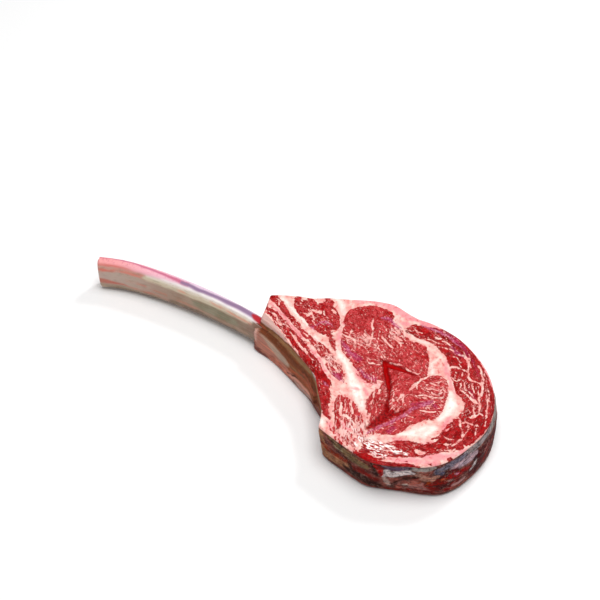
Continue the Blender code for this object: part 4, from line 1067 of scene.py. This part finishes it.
bone_tone = blended(bone_place[:, 0], BODY)
for code, rows in BONE_TONES:
    cover = eased(stroke(bone_place[:, [0, 2]] + smudge, rows), -2.0, 1.6)
    if max(row[-1] for row in rows) < STAIN_WIDEST:     # a stain is broken, not a line
        cover = cover * scuffed
    bone_tone = laid_over(bone_tone, code, cover)
on_top = eased(up + 0.04 * cloud(bone_place, 7.0, 2.0), 0.78, 0.90)
top_place = np.stack([bone_place[:, 0], across], axis=1) + 0.6 * smudge
bone_tone += on_top[:, None] * (blended(bone_place[:, 0], UPPER) - bone_tone)
for code, rows in TOP_TONES:
    bone_tone = laid_over(bone_tone, code, on_top * eased(stroke(top_place, rows), -1.2, 1.0))
store(bone_mesh, "tone", bone_tone)
bone_mesh.update()
bm = bmesh.new()
bm.from_mesh(bone_mesh)
bmesh.ops.recalc_face_normals(bm, faces=bm.faces[:])
bm.to_mesh(bone_mesh)
bm.free()
bone_mesh.shade_smooth()
bone_mesh.set_sharp_from_angle(angle=math.radians(50))
bone = placed("rib_bone_detail", bone_mesh)
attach(bone, "root")
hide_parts("rib_bone")

# The bone's material: satin cortex, cream to olive-grey, stained pink and violet by what was scraped off
# it, with painted highlight under its upper edge and painted shade along its lower one, and red spongy
# marrow in the sawn end.
g = Graph("scraped bone")
at = g.places()
run, up = g.field("run"), g.field("up")
# Knife marks: 1 is 10 mm along the bone, and 2.6 mm across it.
lengthwise = g.add("ShaderNodeCombineXYZ", {"X": g.times(run, 0.10), "Y": g.times(up, 7.0),
                                            "Z": g.times(g.field("facing"), 1.5)})
streak = g.noise(lengthwise, 1.0, 4, 0.6)
fine_streak = g.noise(lengthwise, 3.0, 3, 0.6)
sides = g.step(up, 0.75, 0.92, 1.0, 0.15)
# The cortex's tones, with the painted highlight and shade laid into them.
cortex = g.field("tone", "Vector")
for stain_share, code in ((g.step(g.noise(at, 0.045, 3, 0.6), 0.35, 0.65, 0.0, 0.2), "d8c8b4"),
                          (g.step(streak, 0.5, 0.72, 0.0, 0.3), "84705a"),
                          (g.step(fine_streak, 0.56, 0.7, 0.0, 0.3), "c87058")):
    cortex = g.mix(g.times(sides, stain_share), cortex, code)
dashes = g.times(g.step(up, 0.92, 1.0), g.step(g.noise(lengthwise, 5.0, 3, 0.7), 0.5, 0.62))
cortex = g.mix(g.times(dashes, 0.4), cortex, g.mix(g.step(run, 75, 110), "c05878", "785c80"))
marrow = g.mix(g.step(g.cells(at, 0.9), 0.25, 0.5), "5e1414", "c98a72")
sawn = g.mix(g.step(g.field("inward"), 0.78, 0.9), marrow, "efe2d2")
colour = g.mix(g.step(g.field("tip"), 0.3, 0.7), cortex, sawn)
g.finish(bone, Base_Color=colour, Roughness=g.step(streak, 0.3, 0.7, 0.3, 0.5), Specular_IOR_Level=0.2,
         Normal=g.bump(fine_streak, 0.25, 0.5))

# ---------------------------------------------------------------------------------------------
# The studio: a sheet of matt white card, a broad lamp above and a small one behind, under a white
# sky. The camera has a long lens and looks down on the cut face.
# ---------------------------------------------------------------------------------------------
bm = bmesh.new()
bmesh.ops.create_grid(bm, x_segments=1, y_segments=1, size=8)
floor = placed("floor", mesh_of(bm, "floor"))
floor.location.z = -0.0005
# Card that is nearly white, so that the steak's soft shadow shows on it.
g = Graph("matt white card")
g.finish(floor, Base_Color=(0.98, 0.98, 0.98, 1), Roughness=0.9)

world = bpy.data.worlds.new("studio")
bpy.context.scene.world = world
world.use_nodes = True
world.node_tree.nodes["Background"].inputs["Color"].default_value = (1, 1, 1, 1)
world.node_tree.nodes["Background"].inputs["Strength"].default_value = 0.3
LIT_PLACE = Vector((0.06, 0, 0))
LAMPS = (   # place, width, watts
    ((0.10, -0.05, 1.6), 0.9, 19),
    ((0.25, 0.85, 1.15), 0.25, 6),
)
for number, (spot_at, width, watts) in enumerate(LAMPS):
    lamp_data = bpy.data.lights.new(f"lamp_{number}", "AREA")
    lamp_data.size = width
    lamp_data.energy = watts
    lamp = placed(f"lamp_{number}", lamp_data)
    lamp.location = spot_at
    lamp.rotation_euler = (LIT_PLACE - Vector(spot_at)).to_track_quat("-Z", "Y").to_euler()

CAMERA_AT, CAMERA_AIM = Vector((0.3391, -0.6602, 1.0710)), Vector((-0.0212, 0.0785, 0.0))
camera_data = bpy.data.cameras.new("camera")
camera_data.lens = 85
camera_data.sensor_width = 36
camera = placed("camera", camera_data)
camera.location = CAMERA_AT
camera.rotation_euler = (CAMERA_AIM - CAMERA_AT).to_track_quat("-Z", "Y").to_euler()
bpy.context.scene.camera = camera
bpy.context.scene.view_settings.view_transform = "Standard"
